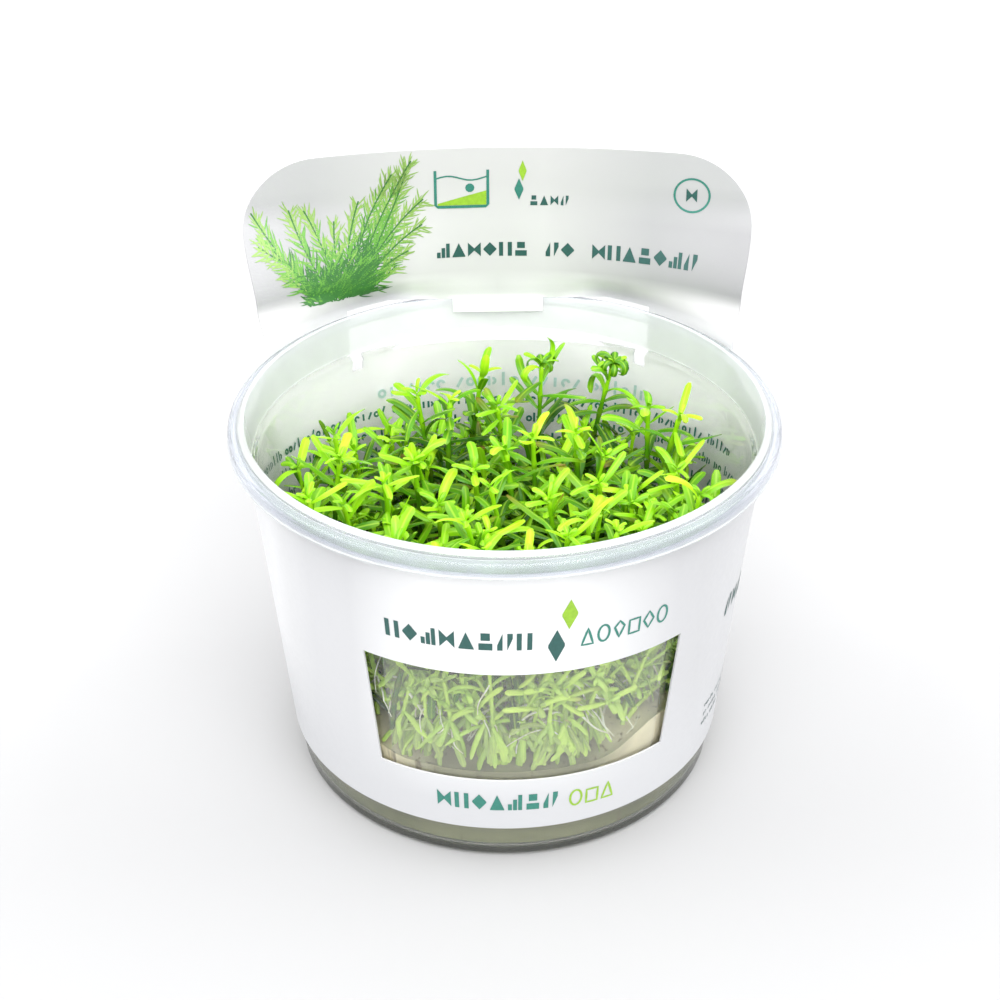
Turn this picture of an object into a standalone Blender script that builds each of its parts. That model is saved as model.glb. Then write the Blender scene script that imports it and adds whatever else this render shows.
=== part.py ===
"""A clear culture cup of young stem plants in a white card sleeve, in metres with +Z up.

The middle of the cup's base is at the origin, and the sleeve's window looks to -Y.
"""

import math
import random

import bmesh
import bpy
from mathutils import Vector
from mathutils.bvhtree import BVHTree

MM = 0.001
GAP = 0.3 * MM
WELD = 0.01 * MM

# Clear cup: a tapering wall, a step inside the mouth, and a flange with a skirt
CUP_STEPS = 40
WALL_SLOPE = 0.0896
WALL = 0.8 * MM
WALL_RADIUS_AT_BASE = 39.85 * MM
FOOT_OUTER = 38.9 * MM
FOOT_INNER = 35.6 * MM
FOOT_RECESS = 0.5 * MM
FOOT_ROUND = 1.0 * MM
FLOOR_TOP = 1.3 * MM
FLOOR_ROUND = 1.2 * MM
BASE_BAND_TOP = 7.0 * MM
BASE_BAND_STEP = 0.6 * MM
BASE_BAND_DEPTH = 0.25 * MM
STEP_HEIGHT = 62.9 * MM
STEP_RISE = 0.9 * MM
STEP_WIDTH = 0.9 * MM
MOUTH_RADIUS = 46.45 * MM
RIM_HEIGHT = 70.3 * MM
RIM_ROUND = 0.6 * MM
FLANGE_RADIUS = 49.6 * MM
FLANGE_WALL = 0.7 * MM
SKIRT_FOOT = 67.45 * MM
SKIRT_FLARE = 0.2 * MM

# Culture medium, creeping up the wall at its edge
GEL_HEIGHT = 25.0 * MM
GEL_CREEP = 1.3 * MM
GEL_CREEP_WIDTH = 3.2 * MM

# Card sleeve: a tapering ring with a window, raised at the back into a card
CARD_THICKNESS = 0.35 * MM
SLEEVE_FOOT = 8.1 * MM
SLEEVE_FOOT_RADIUS = 41.3 * MM
SLEEVE_TOP = 67.1 * MM
FLARE_START = 50.0 * MM
FLARE = 2.9
FLARE_ROW = 55.0 * MM
WINDOW_FOOT = 20.0 * MM
WINDOW_TOP = 45.0 * MM
WINDOW_OFFSET = math.radians(3.3)
WINDOW_HALF_ANGLE = math.radians(36.2)
WINDOW_SPREAD = math.radians(1.4)
WINDOW_CELLS = 8
SIDE_CELLS = 8

# Neck, where the back of the sleeve passes the flange and becomes the card
NECK_ANGLE = math.radians(62.0)
NECK_FADE = math.radians(14.0)
NECK_CELLS = 4
NECK_POWER = 0.8
HUG_RADIUS = 50.3 * MM
FLAT_HALF = 21.5 * MM
FLAT_ANGLE = math.asin(FLAT_HALF / HUG_RADIUS)
NECK_HALF = FLAT_HALF + HUG_RADIUS * (NECK_ANGLE - FLAT_ANGLE)
SLOT_HALF = 30.1 * MM
SLOT_FOOT = 60.6 * MM
SLOT_TOP = 70.75 * MM
SLOT_ANGLE = math.asin(SLOT_HALF / HUG_RADIUS)
SLOT_SHARE = (FLAT_HALF + HUG_RADIUS * (SLOT_ANGLE - FLAT_ANGLE)) / NECK_HALF
TONGUE_HALF = 9.0 * MM
TONGUE_FOLD = 0.9 * MM
TONGUE_FOOT = 68.0 * MM
TONGUE_DEPTH = 44.9 * MM

# Raised card: how far back its middle lies, its outline, and its bend, which eases upwards
DEPTH_AT_SLEEVE_TOP = 47.4 * MM
DEPTH_AT_SLOT = 45.4 * MM
DEPTH_AT_CARD_TOP = 46.7 * MM
CARD_HALF = 49.7 * MM
CARD_TOP = 102.0 * MM
CARD_CORNER = 15.0 * MM
CARD_CROWN = 0.6 * MM
CORNER_TURNS = (26, 48, 69, 90)
CARD_ROW = 83.0 * MM
BULGE_CLEAR = 76.0 * MM
CARD_BEND_LOW = 1 / (78 * MM)
CARD_BEND_HIGH = 1 / (215 * MM)
BEND_FADE = 17.0 * MM

# Shoots: how many, where the prominent ones end, and how the others fill the bed
SHOOTS = 40
SEED = 11
PROMINENT_TIPS = (
    (-17, 18, 64),
    (-10, 16, 63),
    (-4, 25, 65),
    (0, 19, 61),
    (9, 27, 65),
    (21, 26, 65),
    (27, 15, 62),
    (34, 10, 63),
    (-29, -1, 61),
    (-34, -15, 61),
    (34, -14, 61),
    (14, 10, 59),
    (-21, -5, 59),
    (18, -6, 58),
)
BED_RADIUS = 36.8 * MM
BED_SPOTS = 44
SPOT_CLEARANCE = 6.5 * MM
MAT_TOP = 57.5 * MM
MAT_CEILING = 63.0 * MM
TALL = 60.5 * MM
BACK_DROP = 12.0 * MM
BACK_START = 14.0 * MM
BACK_FADE = 24.0 * MM
SIDE_DROP = 0.03
FOOT_SPREAD = 1.1
TOP_SPREAD = (-4.0, 3.0)
LEAN_SPREAD = (1.0, 6.0)
LEAN_POWER = 1.6
INTERNODE_SPREAD = (4.6, 6.0)
TIP_MARGIN = 4.5 * MM
PLACING_TRIES = 60

# Stems and leaves, from the top pair down
STEM_HALF = 0.52 * MM
NODE_HALF = 0.55 * MM
BUD = 1.6 * MM
STEM_SWELL = 0.2 * MM
STEM_TEST_RINGS = 6
LEAF_PAIRS = 4
LEAF_RISE = (33, 23, 13, 4)
LEAF_LENGTH = (7.5, 9.8, 11.0, 10.5)
LEAF_WIDTH = 2.1 * MM
LEAF_TIP_WIDTH = 1.2 * MM
LEAF_THICKNESS = 0.5 * MM
LEAF_BEND = 0.58
LEAF_TRIES = 40
RISE_SPREAD = 14
RISE_RELIEF = 28
LENGTH_SPREAD = 0.15
LENGTH_RELIEF = 0.5
DROOP = 38
SWING = 0.16
WALL_CLEARANCE = 0.7 * MM
RIM_CLEARANCE = 0.6 * MM
GEL_CLEARANCE = 1.6 * MM
LEAF_CLEARANCE = 0.12 * MM
ROOT_CLEARANCE = 0.3 * MM
GOLDEN_ANGLE = math.radians(137.508)
CORNERS = ((1, -1), (1, 1), (-1, 1), (-1, -1))


def wall_outside(z):
    return WALL_RADIUS_AT_BASE + WALL_SLOPE * z


def wall_inside(z):
    return wall_outside(z) - WALL


def smooth(value):
    value = min(1.0, max(0.0, value))
    return value * value * (3 - 2 * value)


def clear_scene():
    for obj in list(bpy.data.objects):
        bpy.data.objects.remove(obj, do_unlink=True)


def make_material(name, color, roughness, transmission=0.0, ior=1.5):
    material = bpy.data.materials.new(name)
    material.use_nodes = True
    shader = material.node_tree.nodes["Principled BSDF"]
    shader.inputs["Base Color"].default_value = (*color, 1.0)
    shader.inputs["Roughness"].default_value = roughness
    shader.inputs["Metallic"].default_value = 0.0
    shader.inputs["Transmission Weight"].default_value = transmission
    shader.inputs["IOR"].default_value = ior
    return material


def add_object(name, mesh, material, collection):
    obj = bpy.data.objects.new(name, mesh)
    mesh.materials.append(material)
    collection.objects.link(obj)
    return obj


def turned(name, profile, material, collection):
    """A turned solid: the profile runs from the axis, down the outer side, back to the axis."""
    mesh = bpy.data.meshes.new(name)
    points = [(radius, 0.0, height) for radius, height in profile]
    mesh.from_pydata(points, [(i, i + 1) for i in range(len(points) - 1)], [])
    obj = add_object(name, mesh, material, collection)
    screw = obj.modifiers.new("Turn", "SCREW")
    screw.steps = CUP_STEPS
    screw.render_steps = CUP_STEPS
    screw.use_merge_vertices = True
    screw.merge_threshold = WELD
    screw.use_smooth_shade = True
    return obj


def cup_profile():
    inner_step = wall_inside(STEP_HEIGHT)
    upper_foot = inner_step + STEP_WIDTH
    under_flange = RIM_HEIGHT - FLANGE_WALL
    skirt_inner = FLANGE_RADIUS - FLANGE_WALL
    band_foot = BASE_BAND_TOP - BASE_BAND_STEP
    inside = [
        (0.0, FLOOR_TOP),
        (wall_inside(0) - FLOOR_ROUND, FLOOR_TOP),
        (wall_inside(FLOOR_TOP + FLOOR_ROUND), FLOOR_TOP + FLOOR_ROUND),
        (inner_step, STEP_HEIGHT),
        (upper_foot, STEP_HEIGHT + STEP_RISE),
        (MOUTH_RADIUS, RIM_HEIGHT - RIM_ROUND),
        (MOUTH_RADIUS + RIM_ROUND, RIM_HEIGHT),
    ]
    flange = [
        (FLANGE_RADIUS - RIM_ROUND, RIM_HEIGHT),
        (FLANGE_RADIUS - SKIRT_FLARE, RIM_HEIGHT - RIM_ROUND),
        (FLANGE_RADIUS, SKIRT_FOOT),
        (skirt_inner, SKIRT_FOOT),
        (skirt_inner - SKIRT_FLARE, under_flange),
        (MOUTH_RADIUS + FLANGE_WALL, under_flange),
    ]
    outside = [
        (upper_foot + FLANGE_WALL, STEP_HEIGHT + STEP_RISE),
        (wall_outside(STEP_HEIGHT - STEP_RISE), STEP_HEIGHT - STEP_RISE),
        (wall_outside(BASE_BAND_TOP), BASE_BAND_TOP),
        (wall_outside(band_foot) - BASE_BAND_DEPTH, band_foot),
        (WALL_RADIUS_AT_BASE, FOOT_ROUND),
        (FOOT_OUTER, 0.0),
        (FOOT_INNER, 0.0),
        (FOOT_INNER - FOOT_RECESS, FOOT_RECESS),
        (0.0, FOOT_RECESS),
    ]
    return inside + flange + outside


def gel_profile():
    brim = GEL_HEIGHT + GEL_CREEP
    foot = FLOOR_TOP + GAP
    return [
        (0.0, GEL_HEIGHT),
        (wall_inside(GEL_HEIGHT) - GEL_CREEP_WIDTH, GEL_HEIGHT),
        (wall_inside(brim) - GAP, brim),
        (wall_inside(foot + FLOOR_ROUND) - GAP, foot + FLOOR_ROUND),
        (wall_inside(0) - FLOOR_ROUND - GAP, foot),
        (0.0, foot),
    ]


def ring_radius(z):
    flare = max(0.0, z - FLARE_START)
    return SLEEVE_FOOT_RADIUS + WALL_SLOPE * (z - SLEEVE_FOOT) + FLARE * flare * flare


def hugging_point(share, middle):
    """Level with the flange the card is nearly flat in the middle, then lies round the flange."""
    along = abs(share) * NECK_HALF
    side = math.copysign(1.0, share)
    if along <= FLAT_HALF:
        corner = HUG_RADIUS * math.cos(FLAT_ANGLE)
        depth = middle + (corner - middle) * (along / FLAT_HALF) ** 2
        return Vector((side * along, depth))
    angle = FLAT_ANGLE + (along - FLAT_HALF) / HUG_RADIUS
    return Vector((side * HUG_RADIUS * math.sin(angle), HUG_RADIUS * math.cos(angle)))


def card_half_width(z):
    corner = max(0.0, z - (CARD_TOP - CARD_CORNER))
    cut = CARD_CORNER - math.sqrt(max(0.0, CARD_CORNER**2 - corner**2))
    return CARD_HALF - cut


def bent_point(share, z):
    """Above the flange the card is a shallow bow that opens out towards its top."""
    fade = smooth((z - BULGE_CLEAR) / BEND_FADE)
    bend = CARD_BEND_LOW + (CARD_BEND_HIGH - CARD_BEND_LOW) * fade
    turn = share * card_half_width(z) * bend
    middle = card_middle(z)
    return Vector((math.sin(turn) / bend, middle - (1 - math.cos(turn)) / bend))


def card_middle(z):
    if z <= SLOT_TOP:
        share = (z - SLEEVE_TOP) / (SLOT_TOP - SLEEVE_TOP)
        return DEPTH_AT_SLEEVE_TOP + (DEPTH_AT_SLOT - DEPTH_AT_SLEEVE_TOP) * share
    share = (z - SLOT_TOP) / (CARD_TOP - SLOT_TOP)
    return DEPTH_AT_SLOT + (DEPTH_AT_CARD_TOP - DEPTH_AT_SLOT) * share


def back_point(share, z):
    """A point of the sleeve's back, share running from -1 to 1 between the sides of the card."""
    if z >= SLEEVE_TOP:
        start = hugging_point(share, card_middle(min(z, SLOT_TOP)))
        end = bent_point(share, z)
        blend = smooth((z - SLOT_TOP) / (BULGE_CLEAR - SLOT_TOP))
    else:
        angle = math.copysign(abs(share) ** NECK_POWER, share) * NECK_ANGLE
        radius = ring_radius(z)
        start = Vector((radius * math.sin(angle), radius * math.cos(angle)))
        end = hugging_point(share, DEPTH_AT_SLEEVE_TOP)
        blend = smooth((z - FLARE_START) / (SLEEVE_TOP - FLARE_START))
    point = start.lerp(end, blend)
    crown = CARD_CROWN * smooth((z - BULGE_CLEAR) / (CARD_TOP - BULGE_CLEAR)) * share**2
    return (point.x, point.y, z - crown)


def side_point(angle, z):
    """A point of the rest of the ring, by its angle from the front."""
    past_neck = math.pi - NECK_ANGLE - abs(angle)
    near = smooth((z - FLARE_START) / (SLEEVE_TOP - FLARE_START))
    near *= 1 - smooth(past_neck / NECK_FADE)
    radius = ring_radius(z) * (1 - near) + HUG_RADIUS * near
    return (radius * math.sin(angle), -radius * math.cos(angle), z)


def front_angles(z):
    """Angles of the ring's columns from one side of the neck to the other, past the window."""
    end = math.pi - NECK_ANGLE
    spread = WINDOW_SPREAD * (z - WINDOW_FOOT) / (WINDOW_TOP - WINDOW_FOOT)
    left = WINDOW_OFFSET - WINDOW_HALF_ANGLE - spread
    right = WINDOW_OFFSET + WINDOW_HALF_ANGLE + spread
    spans = ((-end, left, SIDE_CELLS), (left, right, WINDOW_CELLS), (right, end, SIDE_CELLS))
    angles = [-end]
    for start, stop, cells in spans:
        angles += [start + (stop - start) * i / cells for i in range(1, cells + 1)]
    return angles


def back_shares():
    """Columns of the sleeve's back: the tongue, the rest of the slot, then out to the neck."""
    flat = FLAT_HALF / NECK_HALF
    tongue = TONGUE_HALF / NECK_HALF
    half = [0.0, tongue / 2, tongue, (tongue + flat) / 2, flat]
    half += [SLOT_SHARE + (1 - SLOT_SHARE) * i / NECK_CELLS for i in range(NECK_CELLS + 1)]
    return [-share for share in reversed(half)] + half[1:]


def at_slot(shares, i):
    """Whether a cell of the sleeve's back lies between the ends of the slot."""
    return abs(shares[i] + shares[i + 1]) / 2 < SLOT_SHARE


def add_ring(bm, shares):
    """The ring below the flange, open at the window and slot. Returns the back of its top row."""
    heights = (SLEEVE_FOOT, WINDOW_FOOT, WINDOW_TOP, FLARE_ROW, SLOT_FOOT, SLEEVE_TOP)
    below = None
    for z in heights:
        back = [bm.verts.new(back_point(share, z)) for share in shares]
        sides = [bm.verts.new(side_point(angle, z)) for angle in front_angles(z)[1:-1]]
        front = [back[0], *sides, back[-1]]
        if below:
            low_back, low_front, low_z = below
            for i in range(len(back) - 1):
                if low_z != SLOT_FOOT or not at_slot(shares, i):
                    bm.faces.new((low_back[i], back[i], back[i + 1], low_back[i + 1]))
            for i in range(len(front) - 1):
                at_window = SIDE_CELLS <= i < SIDE_CELLS + WINDOW_CELLS
                if low_z != WINDOW_FOOT or not at_window:
                    bm.faces.new((low_front[i], low_front[i + 1], front[i + 1], front[i]))
        below = (back, front, z)
    return below[0]


def add_tongue(bm, hem):
    for z in (SLOT_TOP - TONGUE_FOLD, TONGUE_FOOT):
        drop = [bm.verts.new((vert.co.x, TONGUE_DEPTH, z)) for vert in hem]
        for i in range(len(hem) - 1):
            bm.faces.new((drop[i], hem[i], hem[i + 1], drop[i + 1]))
        hem = drop


def add_card(bm, shares, below):
    """The raised card, open at the slot that the flange pokes through."""
    corner = CARD_TOP - CARD_CORNER
    arc = [corner + CARD_CORNER * math.sin(math.radians(turn)) for turn in CORNER_TURNS]
    for z in (SLOT_TOP, BULGE_CLEAR, CARD_ROW, corner, *arc):
        above = [bm.verts.new(back_point(share, z)) for share in shares]
        for i in range(len(shares) - 1):
            if z > SLOT_TOP or not at_slot(shares, i):
                bm.faces.new((below[i], above[i], above[i + 1], below[i + 1]))
        if z == SLOT_TOP:
            near = [abs(share) * NECK_HALF < TONGUE_HALF + WELD for share in shares]
            add_tongue(bm, [vert for vert, is_near in zip(above, near) if is_near])
        below = above


def build_sleeve(material, collection):
    bm = bmesh.new()
    shares = back_shares()
    add_card(bm, shares, add_ring(bm, shares))
    unused = [vert for vert in bm.verts if not vert.link_faces]
    bmesh.ops.delete(bm, geom=unused, context="VERTS")
    mesh = bpy.data.meshes.new("sleeve")
    bm.to_mesh(mesh)
    bm.free()
    mesh.shade_smooth()
    obj = add_object("sleeve", mesh, material, collection)
    thicken = obj.modifiers.new("Card", "SOLIDIFY")
    thicken.thickness = CARD_THICKNESS
    thicken.offset = -1.0
    return obj


def bed_height(x, y):
    """Height of the tops of the shoots: level in front, low by the back wall."""
    behind = smooth((y - BACK_START) / BACK_FADE)
    return MAT_TOP - BACK_DROP * behind - SIDE_DROP * abs(x)


class Shoot:
    """One shoot: where its stem runs and which way its pairs of leaves point."""

    def __init__(self, foot, top, lean, twist, internode):
        self.foot = Vector(foot)
        self.rise = top - self.foot.z
        self.lean = lean
        self.twist = twist
        self.internode = internode
        self.ceiling = RIM_HEIGHT - RIM_CLEARANCE if top > TALL else MAT_CEILING
        self.leaves = []

    def point(self, height):
        share = max(0.0, height / self.rise)
        return self.foot + Vector((0, 0, height)) + self.lean * share**LEAN_POWER

    def frame(self, height):
        step = 0.5 * MM
        along = (self.point(height + step) - self.point(height - step)).normalized()
        side = Vector((math.cos(self.twist), math.sin(self.twist), 0.0))
        side = (side - along * side.dot(along)).normalized()
        return along, side, along.cross(side)

    def leaf_directions(self, pair, turn):
        """Along the stem, outwards and across a leaf, at a pair of leaves."""
        along, side, front = self.frame(self.node_height(pair))
        angle = turn * math.pi / 2
        out = side * math.cos(angle) + front * math.sin(angle)
        return along, out, along.cross(out).normalized()

    def node_height(self, pair):
        return self.rise - NODE_HALF - pair * self.internode

    def ring(self, height, half):
        _, side, front = self.frame(height)
        middle = self.point(height)
        return [middle + side * half * a + front * half * b for a, b in CORNERS]


def leaf_sections(shoot, pair, turn, rise, length, droop):
    """The middle and tip sections of a leaf as (centre, across, normal, half width)."""
    along, out, across = shoot.leaf_directions(pair, turn)
    root = shoot.point(shoot.node_height(pair)) + out * STEM_HALF
    heading = (out * math.cos(rise) + along * math.sin(rise)).normalized()
    middle = root + heading * length * LEAF_BEND
    lowered = (out * math.cos(rise - droop) + along * math.sin(rise - droop)).normalized()
    tip = middle + lowered * length * (1 - LEAF_BEND)
    return (
        (middle, across, across.cross(heading), LEAF_WIDTH / 2),
        (tip, across, across.cross(lowered), LEAF_TIP_WIDTH / 2),
    )


def tube_faces(rings):
    """Faces of a closed tube through rings of four points each."""
    last = 4 * (rings - 1)
    faces = [(0, 1, 2, 3), (last, last + 1, last + 2, last + 3)]
    for base in range(0, last, 4):
        for i in range(4):
            j = (i + 1) % 4
            faces.append((base + i, base + j, base + 4 + j, base + 4 + i))
    return faces


def leaf_hull(shoot, pair, turn, rise, length, droop):
    """A slightly swollen copy of a leaf, to test that it stays clear of what is there."""
    middle, tip = leaf_sections(shoot, pair, turn, rise, length, droop)
    along, out, across = shoot.leaf_directions(pair, turn)
    root = shoot.point(shoot.node_height(pair)) + out * (STEM_HALF + ROOT_CLEARANCE)
    thick = LEAF_THICKNESS / 2 + LEAF_CLEARANCE
    beyond = tip[0] + (tip[0] - middle[0]).normalized() * LEAF_CLEARANCE
    stations = (
        (root, across, along, STEM_HALF, NODE_HALF),
        (*middle, thick),
        (beyond, *tip[1:], thick),
    )
    verts = []
    for centre, wide, normal, half, depth in stations:
        swollen = half + LEAF_CLEARANCE
        verts += [centre + wide * swollen * a + normal * depth * b for a, b in CORNERS]
    return verts, tube_faces(len(stations))


def stem_hull(shoot):
    """A slightly swollen copy of a stem."""
    verts = []
    for i in range(STEM_TEST_RINGS + 1):
        verts += shoot.ring(shoot.rise * i / STEM_TEST_RINGS, STEM_HALF + STEM_SWELL)
    return verts, tube_faces(STEM_TEST_RINGS + 1)


def inside_cup(points, ceiling):
    for point in points:
        limit = wall_inside(min(point.z, STEP_HEIGHT)) - WALL_CLEARANCE
        if math.hypot(point.x, point.y) > limit:
            return False
        if not GEL_HEIGHT + GEL_CLEARANCE < point.z < ceiling:
            return False
    return True


def box_of(verts):
    low = Vector([min(v[i] for v in verts) for i in range(3)])
    high = Vector([max(v[i] for v in verts) for i in range(3)])
    return low, high


class Obstacles:
    """What has been placed so far, as swollen pieces that nothing else may touch."""

    def __init__(self):
        self.placed = []

    def add(self, verts, faces):
        self.placed.append((*box_of(verts), BVHTree.FromPolygons(verts, faces)))

    def free(self, verts, faces):
        low, high = box_of(verts)
        tree = BVHTree.FromPolygons(verts, faces)
        for other_low, other_high, other_tree in self.placed:
            if any(low[i] > other_high[i] or high[i] < other_low[i] for i in range(3)):
                continue
            if tree.overlap(other_tree):
                return False
        return True


def bed_spots():
    """Places of the other shoots: an even spiral over the bed, clear of the prominent tips."""
    spots = []
    for index in range(BED_SPOTS):
        distance = BED_RADIUS * math.sqrt((index + 0.5) / BED_SPOTS)
        bearing = index * GOLDEN_ANGLE
        x, y = distance * math.cos(bearing), distance * math.sin(bearing)
        near = min(math.hypot(x - tx * MM, y - ty * MM) for tx, ty, _ in PROMINENT_TIPS)
        if near > SPOT_CLEARANCE:
            spots.append((x, y))
    return spots


def try_shoot(rng, x, y, tip_height):
    """A shoot near a spot, or one that ends at a given tip, with its lean and turn drawn anew."""
    bearing = rng.uniform(0, 2 * math.pi)
    lean = Vector((math.cos(bearing), math.sin(bearing), 0)) * rng.uniform(*LEAN_SPREAD) * MM
    x += rng.uniform(-FOOT_SPREAD, FOOT_SPREAD) * MM
    y += rng.uniform(-FOOT_SPREAD, FOOT_SPREAD) * MM
    top = tip_height
    if tip_height is None:
        top = bed_height(x, y) + rng.uniform(*TOP_SPREAD) * MM
    else:
        x -= lean.x
        y -= lean.y
    twist = rng.uniform(0, math.pi / 2)
    internode = rng.uniform(*INTERNODE_SPREAD) * MM
    return Shoot((x, y, GEL_HEIGHT + GAP), top, lean, twist, internode)


def plan_stems(rng, obstacles):
    """The prominent shoots, then the others, each drawn again until its stem is clear."""
    places = [(x * MM, y * MM, z * MM) for x, y, z in PROMINENT_TIPS]
    places += [(x, y, None) for x, y in bed_spots()]
    shoots = []
    for x, y, tip_height in places[:SHOOTS]:
        for _ in range(PLACING_TRIES):
            shoot = try_shoot(rng, x, y, tip_height)
            hull = stem_hull(shoot)
            tip = shoot.point(shoot.rise)
            near_wall = wall_inside(tip.z) - TIP_MARGIN
            on_bed = shoot.foot.xy.length < BED_RADIUS
            if on_bed and tip.xy.length < near_wall and obstacles.free(*hull):
                shoots.append(shoot)
                obstacles.add(*hull)
                break
    return shoots


def draw_stance(rng, pair, turn, loosen):
    """A leaf's turn, rise, length and droop, further from the natural ones as it loosens."""
    rise = LEAF_RISE[pair] + rng.uniform(-RISE_SPREAD, RISE_SPREAD) * (1 + loosen)
    rise += RISE_RELIEF * loosen
    length = LEAF_LENGTH[pair] * rng.uniform(1 - LENGTH_SPREAD, 1 + LENGTH_SPREAD)
    length *= 1 - LENGTH_RELIEF * loosen
    droop = rng.uniform(0, DROOP) * (1 - loosen)
    turn += rng.uniform(-SWING, SWING) * (1 + loosen)
    return turn, math.radians(rise), length * MM, math.radians(droop)


def plan_leaves(rng, shoots, obstacles):
    """Leaves from the top pair down: each takes the first free stance near its natural one."""
    for pair in range(LEAF_PAIRS):
        for shoot in shoots:
            for side in (0, 2):
                for attempt in range(LEAF_TRIES):
                    loosen = attempt / (LEAF_TRIES - 1)
                    stance = draw_stance(rng, pair, side + pair % 2, loosen)
                    hull = leaf_hull(shoot, pair, *stance)
                    if inside_cup(hull[0], shoot.ceiling) and obstacles.free(*hull):
                        shoot.leaves.append((pair, side, *stance))
                        obstacles.add(*hull)
                        break


def grow_leaf(bm, face, sections):
    """Draws a leaf out of one side of the stem: a wide middle, then a thin blunt tip."""
    for number, (centre, across, normal, half) in enumerate(sections):
        face = bmesh.ops.extrude_discrete_faces(bm, faces=[face])["faces"][0]
        middle = face.calc_center_median()
        depth = LEAF_THICKNESS / 2 if number == 0 else 0.0
        for vert in face.verts:
            offset = vert.co - middle
            wide = math.copysign(half, offset.dot(across))
            high = math.copysign(depth, offset.dot(normal))
            vert.co = centre + across * wide + normal * high
    return face


def build_shoot(name, shoot, material, collection):
    """A square stem that swells into its leaves at each pair and ends in a small bud."""
    bm = bmesh.new()
    heights = [0.0]
    band = {}
    for pair in reversed(range(LEAF_PAIRS)):
        middle = shoot.node_height(pair)
        band[pair] = len(heights)
        heights += [middle - NODE_HALF, middle + NODE_HALF]
    rings = [[bm.verts.new(p) for p in shoot.ring(height, STEM_HALF)] for height in heights]
    sides = {}
    for row in range(len(rings) - 1):
        low, high = rings[row], rings[row + 1]
        for i in range(4):
            j = (i + 1) % 4
            sides[row, i] = bm.faces.new((low[i], low[j], high[j], high[i]))
    bm.faces.new(list(reversed(rings[0])))
    bud = bm.faces.new(rings[-1])
    for pair, side, *stance in shoot.leaves:
        face = sides[band[pair], (side + pair % 2) % 4]
        grow_leaf(bm, face, leaf_sections(shoot, pair, *stance))
    tip = bmesh.ops.poke(bm, faces=[bud])["verts"][0]
    tip.co = shoot.point(shoot.rise + BUD)
    bmesh.ops.remove_doubles(bm, verts=bm.verts, dist=WELD)
    bmesh.ops.recalc_face_normals(bm, faces=bm.faces)
    mesh = bpy.data.meshes.new(name)
    bm.to_mesh(mesh)
    bm.free()
    return add_object(name, mesh, material, collection)


def main():
    clear_scene()
    collection = bpy.data.collections.new("culture_cup")
    bpy.context.scene.collection.children.link(collection)
    clear = make_material("clear_plastic", (0.95, 0.97, 0.96), 0.06, 1.0, 1.49)
    card = make_material("white_card", (0.93, 0.93, 0.94), 0.45)
    medium = make_material("culture_gel", (0.40, 0.42, 0.32), 0.25, 0.3, 1.34)
    leaf = make_material("leaf_green", (0.30, 0.56, 0.03), 0.45)
    turned("cup", cup_profile(), clear, collection)
    turned("gel", gel_profile(), medium, collection)
    build_sleeve(card, collection)
    rng = random.Random(SEED)
    obstacles = Obstacles()
    shoots = plan_stems(rng, obstacles)
    plan_leaves(rng, shoots, obstacles)
    for number, shoot in enumerate(shoots, 1):
        build_shoot(f"shoot_{number:02d}", shoot, leaf, collection)


main()
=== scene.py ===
"""Looks of the culture cup: fine meshes, materials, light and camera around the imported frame.

Everything is in metres in the part's frame, so +Z is up and the sleeve's window looks to -Y.
"""

import itertools
import random
from math import asin, atan2, ceil, copysign, cos, exp, hypot, pi, radians, sin, sqrt

import bmesh
import bpy
from mathutils import Matrix, Vector, noise
from mathutils.bvhtree import BVHTree


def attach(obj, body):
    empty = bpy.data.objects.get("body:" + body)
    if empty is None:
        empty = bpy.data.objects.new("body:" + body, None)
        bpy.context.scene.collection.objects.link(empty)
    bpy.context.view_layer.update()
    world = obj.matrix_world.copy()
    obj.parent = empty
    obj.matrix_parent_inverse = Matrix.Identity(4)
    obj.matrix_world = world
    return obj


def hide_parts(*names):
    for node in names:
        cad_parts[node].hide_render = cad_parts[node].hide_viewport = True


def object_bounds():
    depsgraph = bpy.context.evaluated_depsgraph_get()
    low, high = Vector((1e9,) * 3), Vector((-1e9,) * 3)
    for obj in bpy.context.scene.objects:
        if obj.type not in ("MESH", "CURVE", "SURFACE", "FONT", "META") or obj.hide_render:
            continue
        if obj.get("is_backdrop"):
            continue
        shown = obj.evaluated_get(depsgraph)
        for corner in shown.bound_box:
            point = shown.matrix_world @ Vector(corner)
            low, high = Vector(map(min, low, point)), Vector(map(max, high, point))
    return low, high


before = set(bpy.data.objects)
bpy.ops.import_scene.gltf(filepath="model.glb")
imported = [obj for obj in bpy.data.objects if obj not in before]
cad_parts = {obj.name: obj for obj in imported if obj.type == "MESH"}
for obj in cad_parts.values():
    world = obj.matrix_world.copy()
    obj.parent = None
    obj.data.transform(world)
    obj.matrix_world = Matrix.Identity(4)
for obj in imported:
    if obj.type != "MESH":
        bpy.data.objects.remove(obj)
CAD_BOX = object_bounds()

MM = 0.001
GAP = 0.3 * MM
WELD = 0.01 * MM

# Cup, gel and sleeve, with the part's own driving dimensions
WALL_SLOPE = 0.0896
WALL = 0.8 * MM
WALL_RADIUS_AT_BASE = 39.85 * MM
FOOT_OUTER = 38.9 * MM
FOOT_INNER = 35.6 * MM
FOOT_RECESS = 0.5 * MM
FOOT_ROUND = 1.0 * MM
FLOOR_TOP = 1.3 * MM
FLOOR_ROUND = 1.2 * MM
BASE_BAND_TOP = 7.0 * MM
BASE_BAND_STEP = 0.6 * MM
BASE_BAND_DEPTH = 0.25 * MM
STEP_HEIGHT = 62.9 * MM
STEP_RISE = 0.9 * MM
STEP_WIDTH = 0.9 * MM
MOUTH_RADIUS = 46.45 * MM
RIM_HEIGHT = 70.3 * MM
RIM_ROUND = 0.6 * MM
FLANGE_RADIUS = 49.6 * MM
FLANGE_WALL = 0.7 * MM
SKIRT_FOOT = 67.45 * MM
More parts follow.
